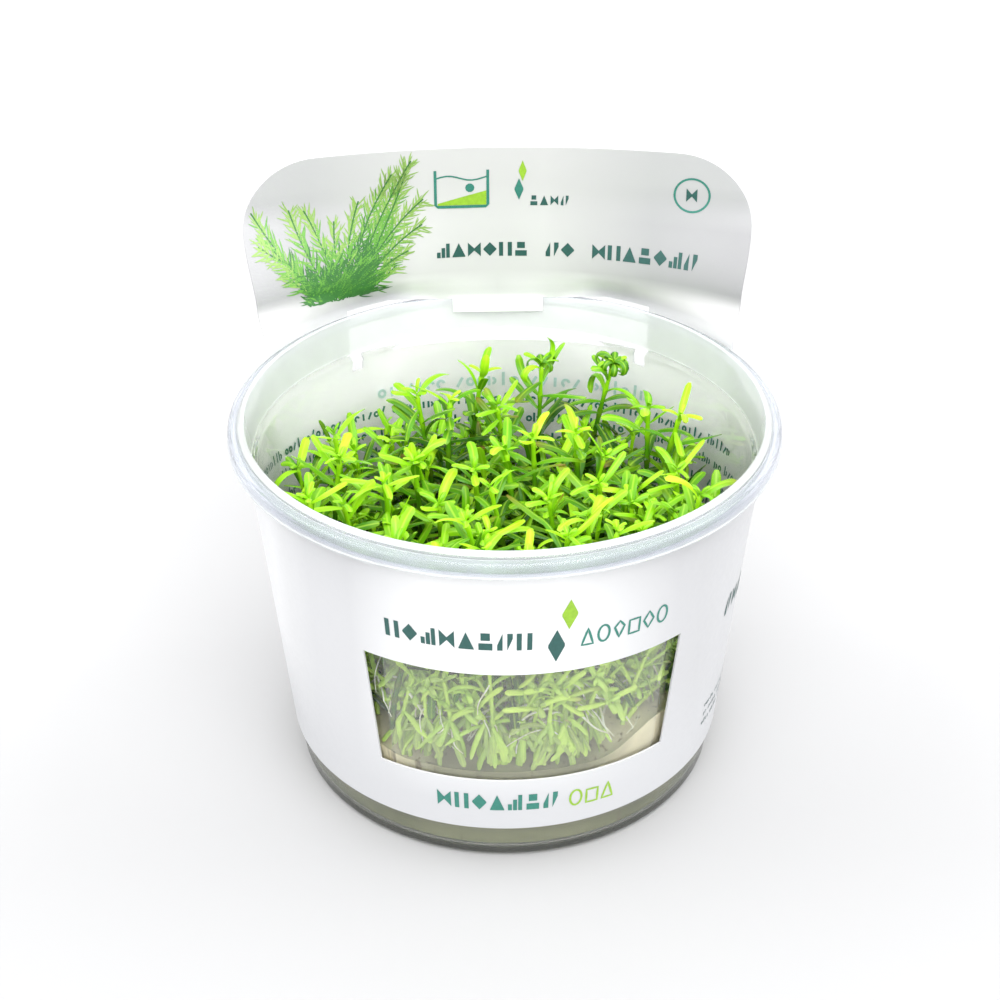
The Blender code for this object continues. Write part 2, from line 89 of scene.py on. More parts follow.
SKIRT_FLARE = 0.2 * MM
GEL_HEIGHT = 25.0 * MM
GEL_CREEP = 1.3 * MM
GEL_CREEP_WIDTH = 3.2 * MM
CARD_THICKNESS = 0.35 * MM
SLEEVE_FOOT = 8.1 * MM
SLEEVE_FOOT_RADIUS = 41.3 * MM
SLEEVE_TOP = 67.1 * MM
FLARE_START = 50.0 * MM
FLARE = 2.9
WINDOW_FOOT = 20.0 * MM
WINDOW_TOP = 45.0 * MM
WINDOW_OFFSET = radians(3.3)
WINDOW_HALF_ANGLE = radians(36.2)
WINDOW_SPREAD = radians(1.4)
NECK_ANGLE = radians(62.0)
NECK_FADE = radians(14.0)
NECK_POWER = 0.8
HUG_RADIUS = 50.3 * MM
FLAT_HALF = 21.5 * MM
FLAT_ANGLE = asin(FLAT_HALF / HUG_RADIUS)
NECK_HALF = FLAT_HALF + HUG_RADIUS * (NECK_ANGLE - FLAT_ANGLE)
SLOT_HALF = 30.1 * MM
SLOT_FOOT = 60.6 * MM
SLOT_TOP = 70.75 * MM
TONGUE_HALF = 9.0 * MM
TONGUE_FOLD = 0.9 * MM
TONGUE_FOOT = 68.0 * MM
TONGUE_DEPTH = 44.9 * MM
DEPTH_AT_SLEEVE_TOP = 47.4 * MM
DEPTH_AT_SLOT = 45.4 * MM
DEPTH_AT_CARD_TOP = 46.7 * MM
CARD_HALF = 49.7 * MM
CARD_TOP = 102.0 * MM
CARD_CORNER = 15.0 * MM
CARD_CROWN = 0.6 * MM
BULGE_CLEAR = 76.0 * MM
CARD_BEND_LOW = 1 / (78 * MM)
CARD_BEND_HIGH = 1 / (215 * MM)
BEND_FADE = 17.0 * MM

# Shoots, planned as in the part so that each fine one stands where its solid does
SHOOTS = 40
SEED = 11
PROMINENT_TIPS = (
    *((-17, 18, 64), (-10, 16, 63), (-4, 25, 65), (0, 19, 61), (9, 27, 65), (21, 26, 65), (27, 15, 62)),
    *((34, 10, 63), (-29, -1, 61), (-34, -15, 61), (34, -14, 61), (14, 10, 59), (-21, -5, 59), (18, -6, 58)),
)
BED_RADIUS = 36.8 * MM
BED_SPOTS = 44
SPOT_CLEARANCE = 6.5 * MM
MAT_TOP = 57.5 * MM
MAT_CEILING = 63.0 * MM
TALL = 60.5 * MM
BACK_DROP = 12.0 * MM
BACK_START = 14.0 * MM
BACK_FADE = 24.0 * MM
SIDE_DROP = 0.03
FOOT_SPREAD = 1.1
TOP_SPREAD = (-4.0, 3.0)
LEAN_SPREAD = (1.0, 6.0)
LEAN_POWER = 1.6
INTERNODE_SPREAD = (4.6, 6.0)
TIP_MARGIN = 4.5 * MM
PLACING_TRIES = 60
STEM_HALF = 0.52 * MM
NODE_HALF = 0.55 * MM
STEM_SWELL = 0.2 * MM
STEM_TEST_RINGS = 6
LEAF_PAIRS = 4
LEAF_RISE = (33, 23, 13, 4)
LEAF_LENGTH = (7.5, 9.8, 11.0, 10.5)
LEAF_WIDTH = 2.1 * MM
LEAF_TIP_WIDTH = 1.2 * MM
LEAF_THICKNESS = 0.5 * MM
LEAF_BEND = 0.58
LEAF_TRIES = 40
RISE_SPREAD = 14
RISE_RELIEF = 28
LENGTH_SPREAD = 0.15
LENGTH_RELIEF = 0.5
DROOP = 38
SWING = 0.16
WALL_CLEARANCE = 0.7 * MM
RIM_CLEARANCE = 0.6 * MM
GEL_CLEARANCE = 1.6 * MM
LEAF_CLEARANCE = 0.12 * MM
ROOT_CLEARANCE = 0.3 * MM
GOLDEN_ANGLE = radians(137.508)
CORNERS = ((1, -1), (1, 1), (-1, 1), (-1, -1))
GRID_CELL = 8.0 * MM

# Fine meshes of the cup, the gel and the card
CUP_SIDES = 192
CORNER_CELLS = 4
SOFT_CORNER = 0.4 * MM
LIP_WIDTH = 0.7 * MM
LIP_RISE = 0.95 * MM
LOW_LIP_RISE = 0.3 * MM
LIP_CLEAR = 15.0 * MM
LIP_FADE = 7.0 * MM
MIST_FOOT = 19.0 * MM
MIST_TOP = 47.0 * MM
MIST_ANGLES = (radians(-30.4), radians(37.0))
GEL_SIDES = 160
GEL_RINGS = 24
CREEP_RINGS = 6
CREEP_POWER = 2.2
GEL_RIPPLE = 0.25 * MM
RIPPLE_SCALE = 260
POCKET_DEPTH = 5.2 * MM
POCKET_RADIUS = 31.0 * MM
POCKET_POWER = 1.2
POCKET_SIDES = (radians(-48), radians(40))
POCKET_FADES = (radians(22), radians(19))
CARD_CELL = 1.3 * MM
CORNER_CELL = radians(6)
NOTCH_FOOT = 58.5 * MM
NOTCH_HALVES = (27.3 * MM, 29.6 * MM)
WINDOW_COLUMNS = 44
SIDE_COLUMNS = 40

# The cup's cloudy zones after its clear one: name, colour, roughness and transmission
CUP_ZONES = (
    ("milky_rim", (0.79, 0.82, 0.88), 0.14, 0.84),
    ("misted_plastic", (0.99, 1.0, 0.95), 0.10, 0.90),
    # The third is whiter, cloudier plastic on the lip and the skirt's foot: a painted highlight along these
    # edges
    ("lip_painted_highlight", (0.93, 0.95, 0.95), 0.2, 0.6),
    ("dull_base", (0.80, 0.83, 0.74), 0.2, 0.93),
)
RIM_ZONE, MIST_ZONE, LIP_HIGHLIGHT_ZONE, BASE_ZONE = 1, 2, 3, 4

# Colours of the medium: from its foot up, painted shade rising to painted light; painted shade by its
# pocket; its clouds and its streaks
GEL_LIGHT_AND_SHADE = ((0.0, (0.113, 0.127, 0.053)), (0.5, (0.36, 0.34, 0.20)), (0.8, (0.95, 0.87, 0.60)))
GEL_CLOUD = (0.40, 0.37, 0.22)
GEL_POCKET_SHADE = (0.30, 0.30, 0.18)
GEL_STREAK = (0.13, 0.09, 0.045)

# Colours of the raised card, painted shade in its middle and above, each plain and to its sides, and at its
# right edge; a plain grey for its back; painted shade at the ring's foot; the white of its inner face
CARD_MIDDLE_SHADES = ((0.585, 0.58, 0.585), (0.355, 0.355, 0.365))
CARD_UPPER_SHADES = ((0.54, 0.535, 0.54), (0.445, 0.445, 0.455))
CARD_RIGHT_SHADE = (0.285, 0.285, 0.293)
CARD_BACK = (0.72, 0.72, 0.725)
RING_FOOT_SHADE = (0.53, 0.535, 0.55)
RING_INSIDE = (0.97, 0.97, 0.96)
# Painted light and shade on the card's fold over the rim, lighter where the flange shades it: its grey by
# the distance from its middle in mm
FOLD_LIGHT_AND_SHADE = ((0, 0.61), (10, 0.74), (17, 0.90), (25, 0.58), (36, 0.50))
# Painted shade on the ring, darker to its sides: its grey by the distance to the right of its middle in mm,
# with how much more blue than red
RING_SPAN = 42.0 * MM
RING_GREEN = 1.006
RING_SHADES = (
    *((-41, 0.70, 1.02), (-38.5, 0.63, 1.02), (-34, 0.57, 1.03), (-27, 0.555, 1.03), (-20.7, 0.645, 1.02)),
    *((-14, 0.75, 1.01), (8, 0.75, 1.01), (20, 0.60, 1.02), (28, 0.508, 1.03), (33, 0.503, 1.03)),
    (41, 0.545, 1.03),
)

# Colours of the plants, from old to young, of their patches, ribs, tips and rust, and the painted haze of
# light over them behind the misted window
LEAF_TONES = (
    *((0.0, (0.006, 0.026, 0.0015)), (0.3, (0.023, 0.100, 0.0025)), (0.6, (0.088, 0.28, 0.004))),
    *((0.84, (0.29, 0.64, 0.008)), (1.0, (0.46, 0.80, 0.02))),
)
PATCH_GREEN = (0.30, 0.60, 0.02)
RIB_GREEN = (0.56, 0.82, 0.06)
TIP_GREEN = (0.40, 0.62, 0.03)
RUST = (0.20, 0.075, 0.018)
PAINTED_HAZE = (0.96, 0.96, 0.44)
PAINTED_HAZE_SHARE = 0.30

# Print on the card, which lies a hair above it
PRINT_LIFT = 0.06 * MM
PRINT_CELL = 0.6 * MM
ROW_SAG = 3.2 * MM
DRAWN_EDGE = 0.6 * MM
DRAWN_FOOT = (-31.5 * MM, 73.6 * MM)
DRAWN_STEP = 0.85
DRAWN_NEEDLE = 0.29 * MM
TUFT_BLADES = 300
# Stems of the drawn plant: its lean in degrees, its length in mm and its bend in degrees
DRAWN_STEMS = (
    *((-54, 25, 12), (-60, 17, -8), (-34, 19, 8), (-18, 18, -10), (-4, 15, 6), (12, 19, 8), (26, 25, 10)),
    *((34, 29, 4), (40, 26, -8), (48, 23, 10), (57, 19, 12), (66, 13, 14), (-70, 10, 10), (76, 9, -8)),
)

# Fine growth
LEAF_STATIONS = 11
LEAF_END = 0.985
LEAF_ROUNDING = 0.84
LEAF_CHANNEL = 0.16
LEAF_CORE = 0.36 * MM
# Across a leaf, from edge to edge over the top and back underneath, with which side is up
LEAF_ACROSS = (-1.0, -0.55, 0.0, 0.55, 1.0, 0.55, 0.0, -0.55)
LEAF_UPWARD = (0, 1, 1, 1, 0, -1, -1, -1)
LEAF_SWAY = 0.4
LEAF_ROLL = 0.6
STEM_RIB = 0.06
STEM_YOUTH = 0.86
STEM_AGEING = 16 * MM
STEM_STEP = 0.9 * MM
NODE_SWELL = 0.8 * MM
MOOD = (-0.14, 0.10)
YOUTH_TOP = 0.84
YOUTH_FALL = 0.78
YOUTH_PAIRS = 6.0
EXTRA_SEED = 5
EXTRA_TRIES = 16
SLIM = 0.38
# Leaves of the solids' shoots and of the fillers: pair, rise in degrees and length in mm
MORE_PAIRS = (
    *((0.5, 26, 9.0), (1.5, 12, 10.5), (4, -4, 10.0), (2.5, 0, 10.5)),
    *((5, -6, 9.5), (3.5, -6, 10.0), (6, -6, 8.5), (4.5, -8, 9.0)),
)
FILLER_LEAVES = (
    *((0, 38, 6.4), (1, 26, 8.6), (2, 14, 10.0), (3, 4, 10.4)),
    *((4, -4, 10.0), (5, -8, 9.4), (6, -8, 8.4), (7, -8, 7.4)),
)
# Fillers: how many, from and to which radius, half their arc, their height and their most lean
FILLER_TIERS = (
    (80, 3, 38.5, pi, 45, 58, 8),
    (90, 24, 39, radians(48), 29, 45, 15),
    (80, 3, 38.5, pi, 33, 46, 8),
)
FILLER_TRIES = 30
FILLER_SHIFT = 2.5
FILLER_STEM_HULL = 0.5 * MM
FILLER_INTERNODE = (2.9, 4.4)
FILLER_WALL_MARGIN = 2 * MM
WINDOW_TIER = 2
WINDOW_INTERNODE = (2.2, 3.0)
# Painted light on the leaves and stems behind the window, lifting their greens
WINDOW_PAINTED_LIGHT = 0.34
WINDOW_NARROW = 0.72
WINDOW_SLIM = 0.25
HANGING = 9
HANGING_SHARE = 0.35
# Young leaves at a tip: rise in degrees, length and width in mm
BUD_LEAVES = ((26, 3.8, 1.15), (50, 2.4, 0.85))
BUD_GLOWS = (-0.16, -0.10, -0.05, 0.0, 0.06)
# Rolled leaves and knots, by the number of their shoot
CURLS = {3: (0.4, 1.6), 5: (2.6, -3.2, 1.2), 6: (-4.4, -3.6, -2.4)}
KNOTS = {5: 4, 6: 8}
ROOTS = 200
WINDOW_ROOTS = 170
ROOT_REACH = 16.0 * MM
ROOT_STEPS = 14
WALL_HUG = 0.3 * MM

# Stage
CAMERA_PLACE = Vector((-8.497, -286.281, 231.532)) * MM
CAMERA_AIM = Vector((-0.858, 0.025, 51.339)) * MM
CAMERA_ROLL = radians(-0.185)
CAMERA_LENS = 65.89
FLOOR_SIZE = 6.0
FLOOR_DEPTH = 1.0
# Painted light on the floor: greyer in front of the cup, brighter from just before it to the back, by the
# distance along Y in metres
FLOOR_PAINTED_LIGHT = ((-0.04, 0.41), (0.03, 0.46), (0.3, 0.465), (0.7, 0.50))
SKY_STOPS = ((0.0, (0.72, 0.725, 0.735)), (0.35, (0.78, 0.785, 0.79)), (0.8, (1.0, 1.0, 1.0)))
SKY_STRENGTH = 1.56
# Softboxes: name, place, width, height and power
SOFTBOXES = (
    ("key", (0.15, -1.25, 1.6), 2.0, 1.4, 39.0),
    ("left_fill", (-1.0, 0.05, 1.1), 0.9, 0.9, 6.5),
    ("right_fill", (1.0, 0.05, 1.1), 0.9, 0.9, 6.5),
)
LIT_PLACE = Vector((0, 0, 0.05))


def wall_outside(z):
    return WALL_RADIUS_AT_BASE + WALL_SLOPE * z


def wall_inside(z):
    return wall_outside(z) - WALL


def smooth(value):
    value = min(1.0, max(0.0, value))
    return value * value * (3 - 2 * value)


def mm(*values):
    return [value * MM for value in values]


def around(first, second, angle):
    """The way between two crossed ones, by its angle from the first."""
    return first * cos(angle) + second * sin(angle)


# Materials


class Nodes:
    """A node tree in the making, over a place in space."""

    def __init__(self, tree, place="Object"):
        self.tree = tree
        self.place = self.add("ShaderNodeTexCoord").outputs[place]

    def add(self, kind, inputs=None, **settings):
        """A node with its settings and its inputs, each a socket or a constant."""
        node = self.tree.nodes.new(kind)
        for name, value in settings.items():
            setattr(node, name, value)
        for name, value in (inputs or {}).items():
            self.feed(node.inputs[name], value)
        return node

    def feed(self, socket, value):
        if isinstance(value, bpy.types.NodeSocket):
            self.tree.links.new(value, socket)
        else:
            socket.default_value = (*value, 1.0) if socket.type == "RGBA" else value

    def axis(self, name, vector=None):
        """One axis of the place, or of another vector."""
        vector = self.place if vector is None else vector
        return self.add("ShaderNodeSeparateXYZ", {"Vector": vector}).outputs[name]

    def noise(self, scale, detail=3.0, stretch=(1, 1, 1)):
        """Noise over the place, drawn out along an axis by a small stretch."""
        mapping = self.add("ShaderNodeMapping", {"Vector": self.place, "Scale": stretch})
        inputs = {"Vector": mapping.outputs["Vector"], "Scale": scale, "Detail": detail}
        return self.add("ShaderNodeTexNoise", inputs).outputs["Fac"]

    def span(self, value, low, high, to_low=0.0, to_high=1.0):
        inputs = {"Value": value, "From Min": low, "From Max": high, "To Min": to_low, "To Max": to_high}
        return self.add("ShaderNodeMapRange", inputs).outputs["Result"]

    def math(self, operation, *values):
        inputs = dict(enumerate(values))
        return self.add("ShaderNodeMath", inputs, operation=operation, use_clamp=True).outputs["Value"]

    def ramp(self, value, stops):
        node = self.add("ShaderNodeValToRGB", {"Fac": value})
        elements = node.color_ramp.elements
        while len(elements) < len(stops):
            elements.new(0.5)
        for element, (place, color) in zip(elements, stops):
            element.position = place
            element.color = (*color, 1.0)
        return node.outputs["Color"]

    def mottle(self, dark, light, scale, detail=2.0, ends=(0.3, 0.7), stretch=(1, 1, 1)):
        """Soft patches of two colours."""
        return self.ramp(self.noise(scale, detail, stretch), ((ends[0], dark), (ends[1], light)))

    def mix(self, share, first, second, blend="MIX"):
        inputs = {0: share, 6: first, 7: second}
        return self.add("ShaderNodeMix", inputs, data_type="RGBA", blend_type=blend).outputs[2]


class Paint(Nodes):
    """A material in the making."""

    def __init__(self, name):
        self.material = bpy.data.materials.new(name)
        self.material.use_nodes = True
        super().__init__(self.material.node_tree)
        self.shader = self.tree.nodes["Principled BSDF"]

    def finish(self, color, roughness, others=None, bump=None):
        """The material. Its bump is the scale, detail, distance and strength of a noise."""
        for name, value in {"Base Color": color, "Roughness": roughness, **(others or {})}.items():
            self.feed(self.shader.inputs[name], value)
        if bump:
            inputs = {"Height": self.noise(*bump[:2]), "Distance": bump[2], "Strength": bump[3]}
            self.feed(self.shader.inputs["Normal"], self.add("ShaderNodeBump", inputs).outputs["Normal"])
        return self.material


def clear_plastic():
    paint = Paint("clear_plastic")
    color = paint.mottle((0.99, 1.0, 0.99), (1.0, 1.0, 1.0), 60, stretch=(1, 1, 0.15))
    rough = paint.span(paint.noise(180), 0.3, 0.7, 0.03, 0.08)
    return paint.finish(color, rough, {"Transmission Weight": 1.0, "IOR": 1.33})


def cloudy_plastic(name, color, roughness, transmission):
    """Plastic that is milky, as in the thick flange, or misted from inside."""
    paint = Paint(name)
    cloud = paint.mottle([channel * 0.94 for channel in color], color, 120, 3.0)
    rough = paint.span(paint.noise(400), 0.3, 0.7, roughness * 0.85, roughness * 1.15)
    return paint.finish(cloud, rough, {"Transmission Weight": transmission, "IOR": 1.36})


def culture_gel():
    """Pale beige by the top and olive below, painted light and shade by height, with painted shade by the
    pocket and brown root streaks down the wall.
    """
    paint = Paint("culture_gel")
    # Painted light and shade: olive towards the foot, pale beige by the top
    body = paint.ramp(paint.span(paint.axis("Z"), 9 * MM, 23 * MM), GEL_LIGHT_AND_SHADE)
    body = paint.mix(paint.span(paint.noise(160, 4.0), 0.3, 0.7, 0.0, 0.35), body, GEL_CLOUD)
    # Painted shade over the medium's front, between the pocket's sides
    left = paint.span(paint.axis("X"), -20 * MM, -13 * MM)
    right = paint.span(paint.axis("X"), 22 * MM, 13 * MM)
    front = paint.span(paint.axis("Y"), -29 * MM, -34 * MM)
    pocket_shade = paint.math("MULTIPLY", paint.math("MULTIPLY", left, right), front)
    body = paint.mix(pocket_shade, body, GEL_POCKET_SHADE)
    streak = paint.span(paint.noise(700, 2.0, (1, 1, 0.06)), 0.60, 0.72, 0.0, 0.75)
    body = paint.mix(streak, body, GEL_STREAK)
    clear = {"Transmission Weight": 0.05, "IOR": 1.34}
    return paint.finish(body, 0.22, clear, (420, 4.0, 0.2 * MM, 0.6))


def card_stock():
    """White card with painted shade: a soft grey over the raised part and the ring's sides and foot, painted
    light and shade on the fold; its inner face left white.
    """
    paint = Paint("white_card")
    height, across = paint.axis("Z"), paint.axis("X")
    normal = paint.add("ShaderNodeTexCoord").outputs["Normal"]
    # Painted shade on the raised card, greyer to its sides and darker at its right edge
    left, right = paint.span(across, -15 * MM, -36 * MM), paint.span(across, 9 * MM, 30 * MM)
    aside = paint.math("MAXIMUM", left, right)
    middle = paint.mix(aside, *CARD_MIDDLE_SHADES)
    middle = paint.mix(paint.span(across, 30 * MM, 46 * MM), middle, CARD_RIGHT_SHADE)
    card = paint.mix(paint.span(height, 87 * MM, 95 * MM), middle, paint.mix(aside, *CARD_UPPER_SHADES))
    # Painted light and shade over the fold above the rim, by the distance from its middle
    off_centre = paint.span(paint.math("ABSOLUTE", across), 0.0, RING_SPAN)
    fold_light_and_shade = paint.ramp(off_centre, [(x * MM / RING_SPAN, (tone,) * 3) for x, tone in FOLD_LIGHT_AND_SHADE])
    card = paint.mix(paint.span(height, 77 * MM, 74 * MM), card, fold_light_and_shade)
    # The raised card's back takes a plain grey instead of the front's painted shade
    card = paint.mix(paint.span(paint.axis("Y", normal), -0.2, 0.2), card, CARD_BACK)
    # Painted shade across the ring, darker to its sides
    stops = []
    for x, tone, cool in RING_SHADES:
        stops.append(((x * MM / RING_SPAN + 1) / 2, (tone, tone * RING_GREEN, tone * cool)))
    ring_shade = paint.ramp(paint.span(across, -RING_SPAN, RING_SPAN), stops)
    mottle = paint.mottle((0.985, 0.985, 0.985), (1.0, 1.0, 1.0), 35)
    body = paint.mix(1.0, ring_shade, mottle, "MULTIPLY")
    # Painted shade, darker towards the ring's foot
    body = paint.mix(paint.span(height, 34 * MM, 14 * MM), body, RING_FOOT_SHADE)
    color = paint.mix(paint.span(height, 70 * MM, 73 * MM), body, card)
    outward = paint.add("ShaderNodeVectorMath", {0: normal, 1: paint.place}, operation="DOT_PRODUCT")
    inward = paint.span(outward.outputs["Value"], 2 * MM, -2 * MM)
    inner_face = paint.math("MULTIPLY", inward, paint.span(height, 72 * MM, 68 * MM))
    color = paint.mix(inner_face, color, RING_INSIDE)
    rough = paint.span(paint.noise(900), 0.3, 0.7, 0.38, 0.5)
    return paint.finish(color, rough, bump=(2600, 2.0, 0.02 * MM, 0.3))


def ink(name, color):
    """Print ink with the slight unevenness of card under it."""
    paint = Paint(name)
    tone = paint.mottle([channel * 0.86 for channel in color], color, 1500, ends=(0.35, 0.65))
    return paint.finish(tone, 0.42, bump=(2600, 2.0, 0.02 * MM, 0.3))


def living(name, painted_haze=0.0):
    """Plant tissue. Its points note in a colour their youth, place across and along, and rust. A share of
    painted haze, pale light over the leaves, may be laid on top.
    """
    paint = Paint(name)
    notes = paint.add("ShaderNodeAttribute", attribute_name="notes")
    youth, across, along = paint.add("ShaderNodeSeparateColor", {"Color": notes.outputs["Color"]}).outputs
    patch = paint.span(paint.noise(260), 0.35, 0.7, 0.0, 0.35)
    color = paint.mix(patch, paint.ramp(youth, LEAF_TONES), PATCH_GREEN, "SOFT_LIGHT")
    color = paint.mix(paint.span(across, 0.0, 0.30, 0.36, 0.0), color, RIB_GREEN)
    color = paint.mix(paint.span(along, 0.8, 1.0, 0.0, 0.25), color, TIP_GREEN)
    color = paint.mix(notes.outputs["Alpha"], color, RUST)
    # Painted haze: pale light over the leaves behind the misted window
    color = paint.mix(painted_haze, color, PAINTED_HAZE)
    return paint.finish(color, 0.27, {"Specular IOR Level": 0.28}, (1400, 3.0, 0.05 * MM, 0.5))


def pale_root():
    paint = Paint("pale_root")
    color = paint.mottle((0.72, 0.70, 0.50), (0.95, 0.96, 0.88), 300, ends=(0.35, 0.6))
    return paint.finish(color, 0.4, bump=(2500, 2.0, 0.03 * MM, 0.5))


def paper_floor():
    paint = Paint("white_floor")
    mottle = paint.mottle((0.98, 0.98, 0.98), (1.0, 1.0, 1.0), 4)
    stops = [((y / FLOOR_DEPTH + 1) / 2, (shade, shade, shade * 1.01)) for y, shade in FLOOR_PAINTED_LIGHT]
    # Painted light, brighter towards the back
    depth = paint.ramp(paint.span(paint.axis("Y"), -FLOOR_DEPTH, FLOOR_DEPTH), stops)
    return paint.finish(paint.mix(1.0, depth, mottle, "MULTIPLY"), 0.7)


# Meshes


def put(name, data):
    """A new object in the scene."""
    thing = bpy.data.objects.new(name, data)
    bpy.context.scene.collection.objects.link(thing)
    return thing


def add_piece(name, mesh, material, replaced=()):
    """Puts a finished mesh on the part's body, with its material."""
    mesh.materials.append(material)
    piece = put(name, mesh)
    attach(piece, "root")
    if replaced:
        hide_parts(*replaced)
    return piece


def mesh_from(name, verts, faces, sharp=radians(40)):
    mesh = bpy.data.meshes.new(name)
    mesh.from_pydata(verts, [], faces)
    bm = bmesh.new()
    bm.from_mesh(mesh)
    bmesh.ops.recalc_face_normals(bm, faces=bm.faces)
    bm.to_mesh(mesh)
    bm.free()
    mesh.shade_smooth()
    mesh.set_sharp_from_angle(angle=sharp)
    return mesh


def softened(outline, radius):
    """The outline with its corners rounded, by less where the edges are short."""
    points = [Vector(point) for point in outline]
    rounded = [points[0]]
    for before, corner, after in zip(points, points[1:], points[2:]):
        back, ahead = before - corner, after - corner
        reach = min(radius, 0.4 * back.length, 0.4 * ahead.length)
        if back.length > 6 * reach:
            rounded.append(corner + back.normalized() * 2 * reach)
        start = corner + back.normalized() * reach
        end = corner + ahead.normalized() * reach
        for i in range(CORNER_CELLS + 1):
            share = i / CORNER_CELLS
            rounded.append(start.lerp(corner, share).lerp(corner.lerp(end, share), share))
        if ahead.length > 6 * reach:
            rounded.append(corner + ahead.normalized() * 2 * reach)
    return [*rounded, points[-1]]


def turned(outline, sides):
    """Points and faces of a turned body whose outline starts and ends on the axis."""
    verts, rings, faces = [], [], []
    for radius, height in outline:
        count = 1 if radius < WELD else sides
        rings.append([len(verts) + i % count for i in range(sides)])
        for i in range(count):
            turn = 2 * pi * i / sides
            verts.append(Vector((radius * cos(turn), radius * sin(turn), height)))
    for low, high in zip(rings, rings[1:]):
        for i in range(sides):
            j = (i + 1) % sides
            face = list(dict.fromkeys((low[i], low[j], high[j], high[i])))
            if len(face) > 2:
                faces.append(face)
    return verts, faces


def cup_outline():
    upper_foot = wall_inside(STEP_HEIGHT) + STEP_WIDTH
    under_flange = RIM_HEIGHT - FLANGE_WALL
    skirt_inner = FLANGE_RADIUS - FLANGE_WALL
    band_foot = BASE_BAND_TOP - BASE_BAND_STEP
    return [
        (0.0, FLOOR_TOP),
        (wall_inside(0) - FLOOR_ROUND, FLOOR_TOP),
        *((wall_inside(z), z) for z in (FLOOR_TOP + FLOOR_ROUND, MIST_FOOT, MIST_TOP, STEP_HEIGHT)),
        (upper_foot, STEP_HEIGHT + STEP_RISE),
        (MOUTH_RADIUS, RIM_HEIGHT + LIP_RISE),
        (MOUTH_RADIUS + LIP_WIDTH, RIM_HEIGHT + LIP_RISE),
        (MOUTH_RADIUS + 2 * LIP_WIDTH, RIM_HEIGHT),
        (FLANGE_RADIUS - RIM_ROUND, RIM_HEIGHT),
        (FLANGE_RADIUS - SKIRT_FLARE, RIM_HEIGHT - RIM_ROUND),
        (FLANGE_RADIUS, SKIRT_FOOT),
        (skirt_inner, SKIRT_FOOT),
        (skirt_inner - SKIRT_FLARE, under_flange),
        (MOUTH_RADIUS + FLANGE_WALL, under_flange),
        (upper_foot + FLANGE_WALL, STEP_HEIGHT + STEP_RISE),
        *((wall_outside(z), z) for z in (STEP_HEIGHT - STEP_RISE, MIST_TOP, MIST_FOOT, BASE_BAND_TOP)),
        (wall_outside(band_foot) - BASE_BAND_DEPTH, band_foot),
        (WALL_RADIUS_AT_BASE, FOOT_ROUND),
        (FOOT_OUTER, 0.0),
        (FOOT_INNER, 0.0),
        (FOOT_INNER - FOOT_RECESS, FOOT_RECESS),
        (0.0, FOOT_RECESS),
    ]


def build_cup():
    """The clear cup, its lip lower where the card passes, with its cloudy zones and a painted highlight on
    its lip and skirt foot.
    """
    verts, faces = turned(softened(cup_outline(), SOFT_CORNER), CUP_SIDES)
    for vert in verts:
        if vert.z > RIM_HEIGHT:
            clear = smooth((abs(vert.x) - LIP_CLEAR) / LIP_FADE) if vert.y > 0 else 1.0
            vert.z = RIM_HEIGHT + (vert.z - RIM_HEIGHT) * (clear + (1 - clear) * LOW_LIP_RISE / LIP_RISE)
    mesh = mesh_from("clear_cup", verts, faces)
    cup = add_piece("clear_cup", mesh, clear_plastic(), ["cup"])
    for zone in CUP_ZONES:
        cup.data.materials.append(cloudy_plastic(*zone))
    for face in cup.data.polygons:
        face.material_index = cup_zone(face.center)


def cup_zone(place):
    """The number of the cup's material at a place."""
    radius = place.xy.length
    outside = radius > wall_inside(place.z) + WALL / 2
    # The lip and the skirt's foot get the whiter plastic, a painted highlight
    at_lip = place.z > STEP_HEIGHT + STEP_RISE and radius < MOUTH_RADIUS + 1.5 * LIP_WIDTH
    if at_lip or (abs(place.z - SKIRT_FOOT) < RIM_ROUND and radius > FLANGE_RADIUS - 2 * FLANGE_WALL):
        return LIP_HIGHLIGHT_ZONE
    if place.z > SKIRT_FOOT - WELD and radius > MOUTH_RADIUS:
        return RIM_ZONE
    in_mist = MIST_ANGLES[0] < atan2(place.x, -place.y) < MIST_ANGLES[1]
    if MIST_FOOT < place.z < MIST_TOP and in_mist and outside:
        return MIST_ZONE
    return BASE_ZONE if place.z < BASE_BAND_TOP + FOOT_ROUND and outside else 0


def pocket_depth(place):
    """How far the medium has shrunk down by the wall, where leaves hang behind the window."""
    angle = atan2(place.x, -place.y)
    left = smooth((angle - POCKET_SIDES[0]) / POCKET_FADES[0])
    right = smooth((POCKET_SIDES[1] - angle) / POCKET_FADES[1])
    outward = (place.xy.length - POCKET_RADIUS) / (wall_inside(GEL_HEIGHT) - POCKET_RADIUS)
    return POCKET_DEPTH * left * right * max(0.0, outward) ** POCKET_POWER


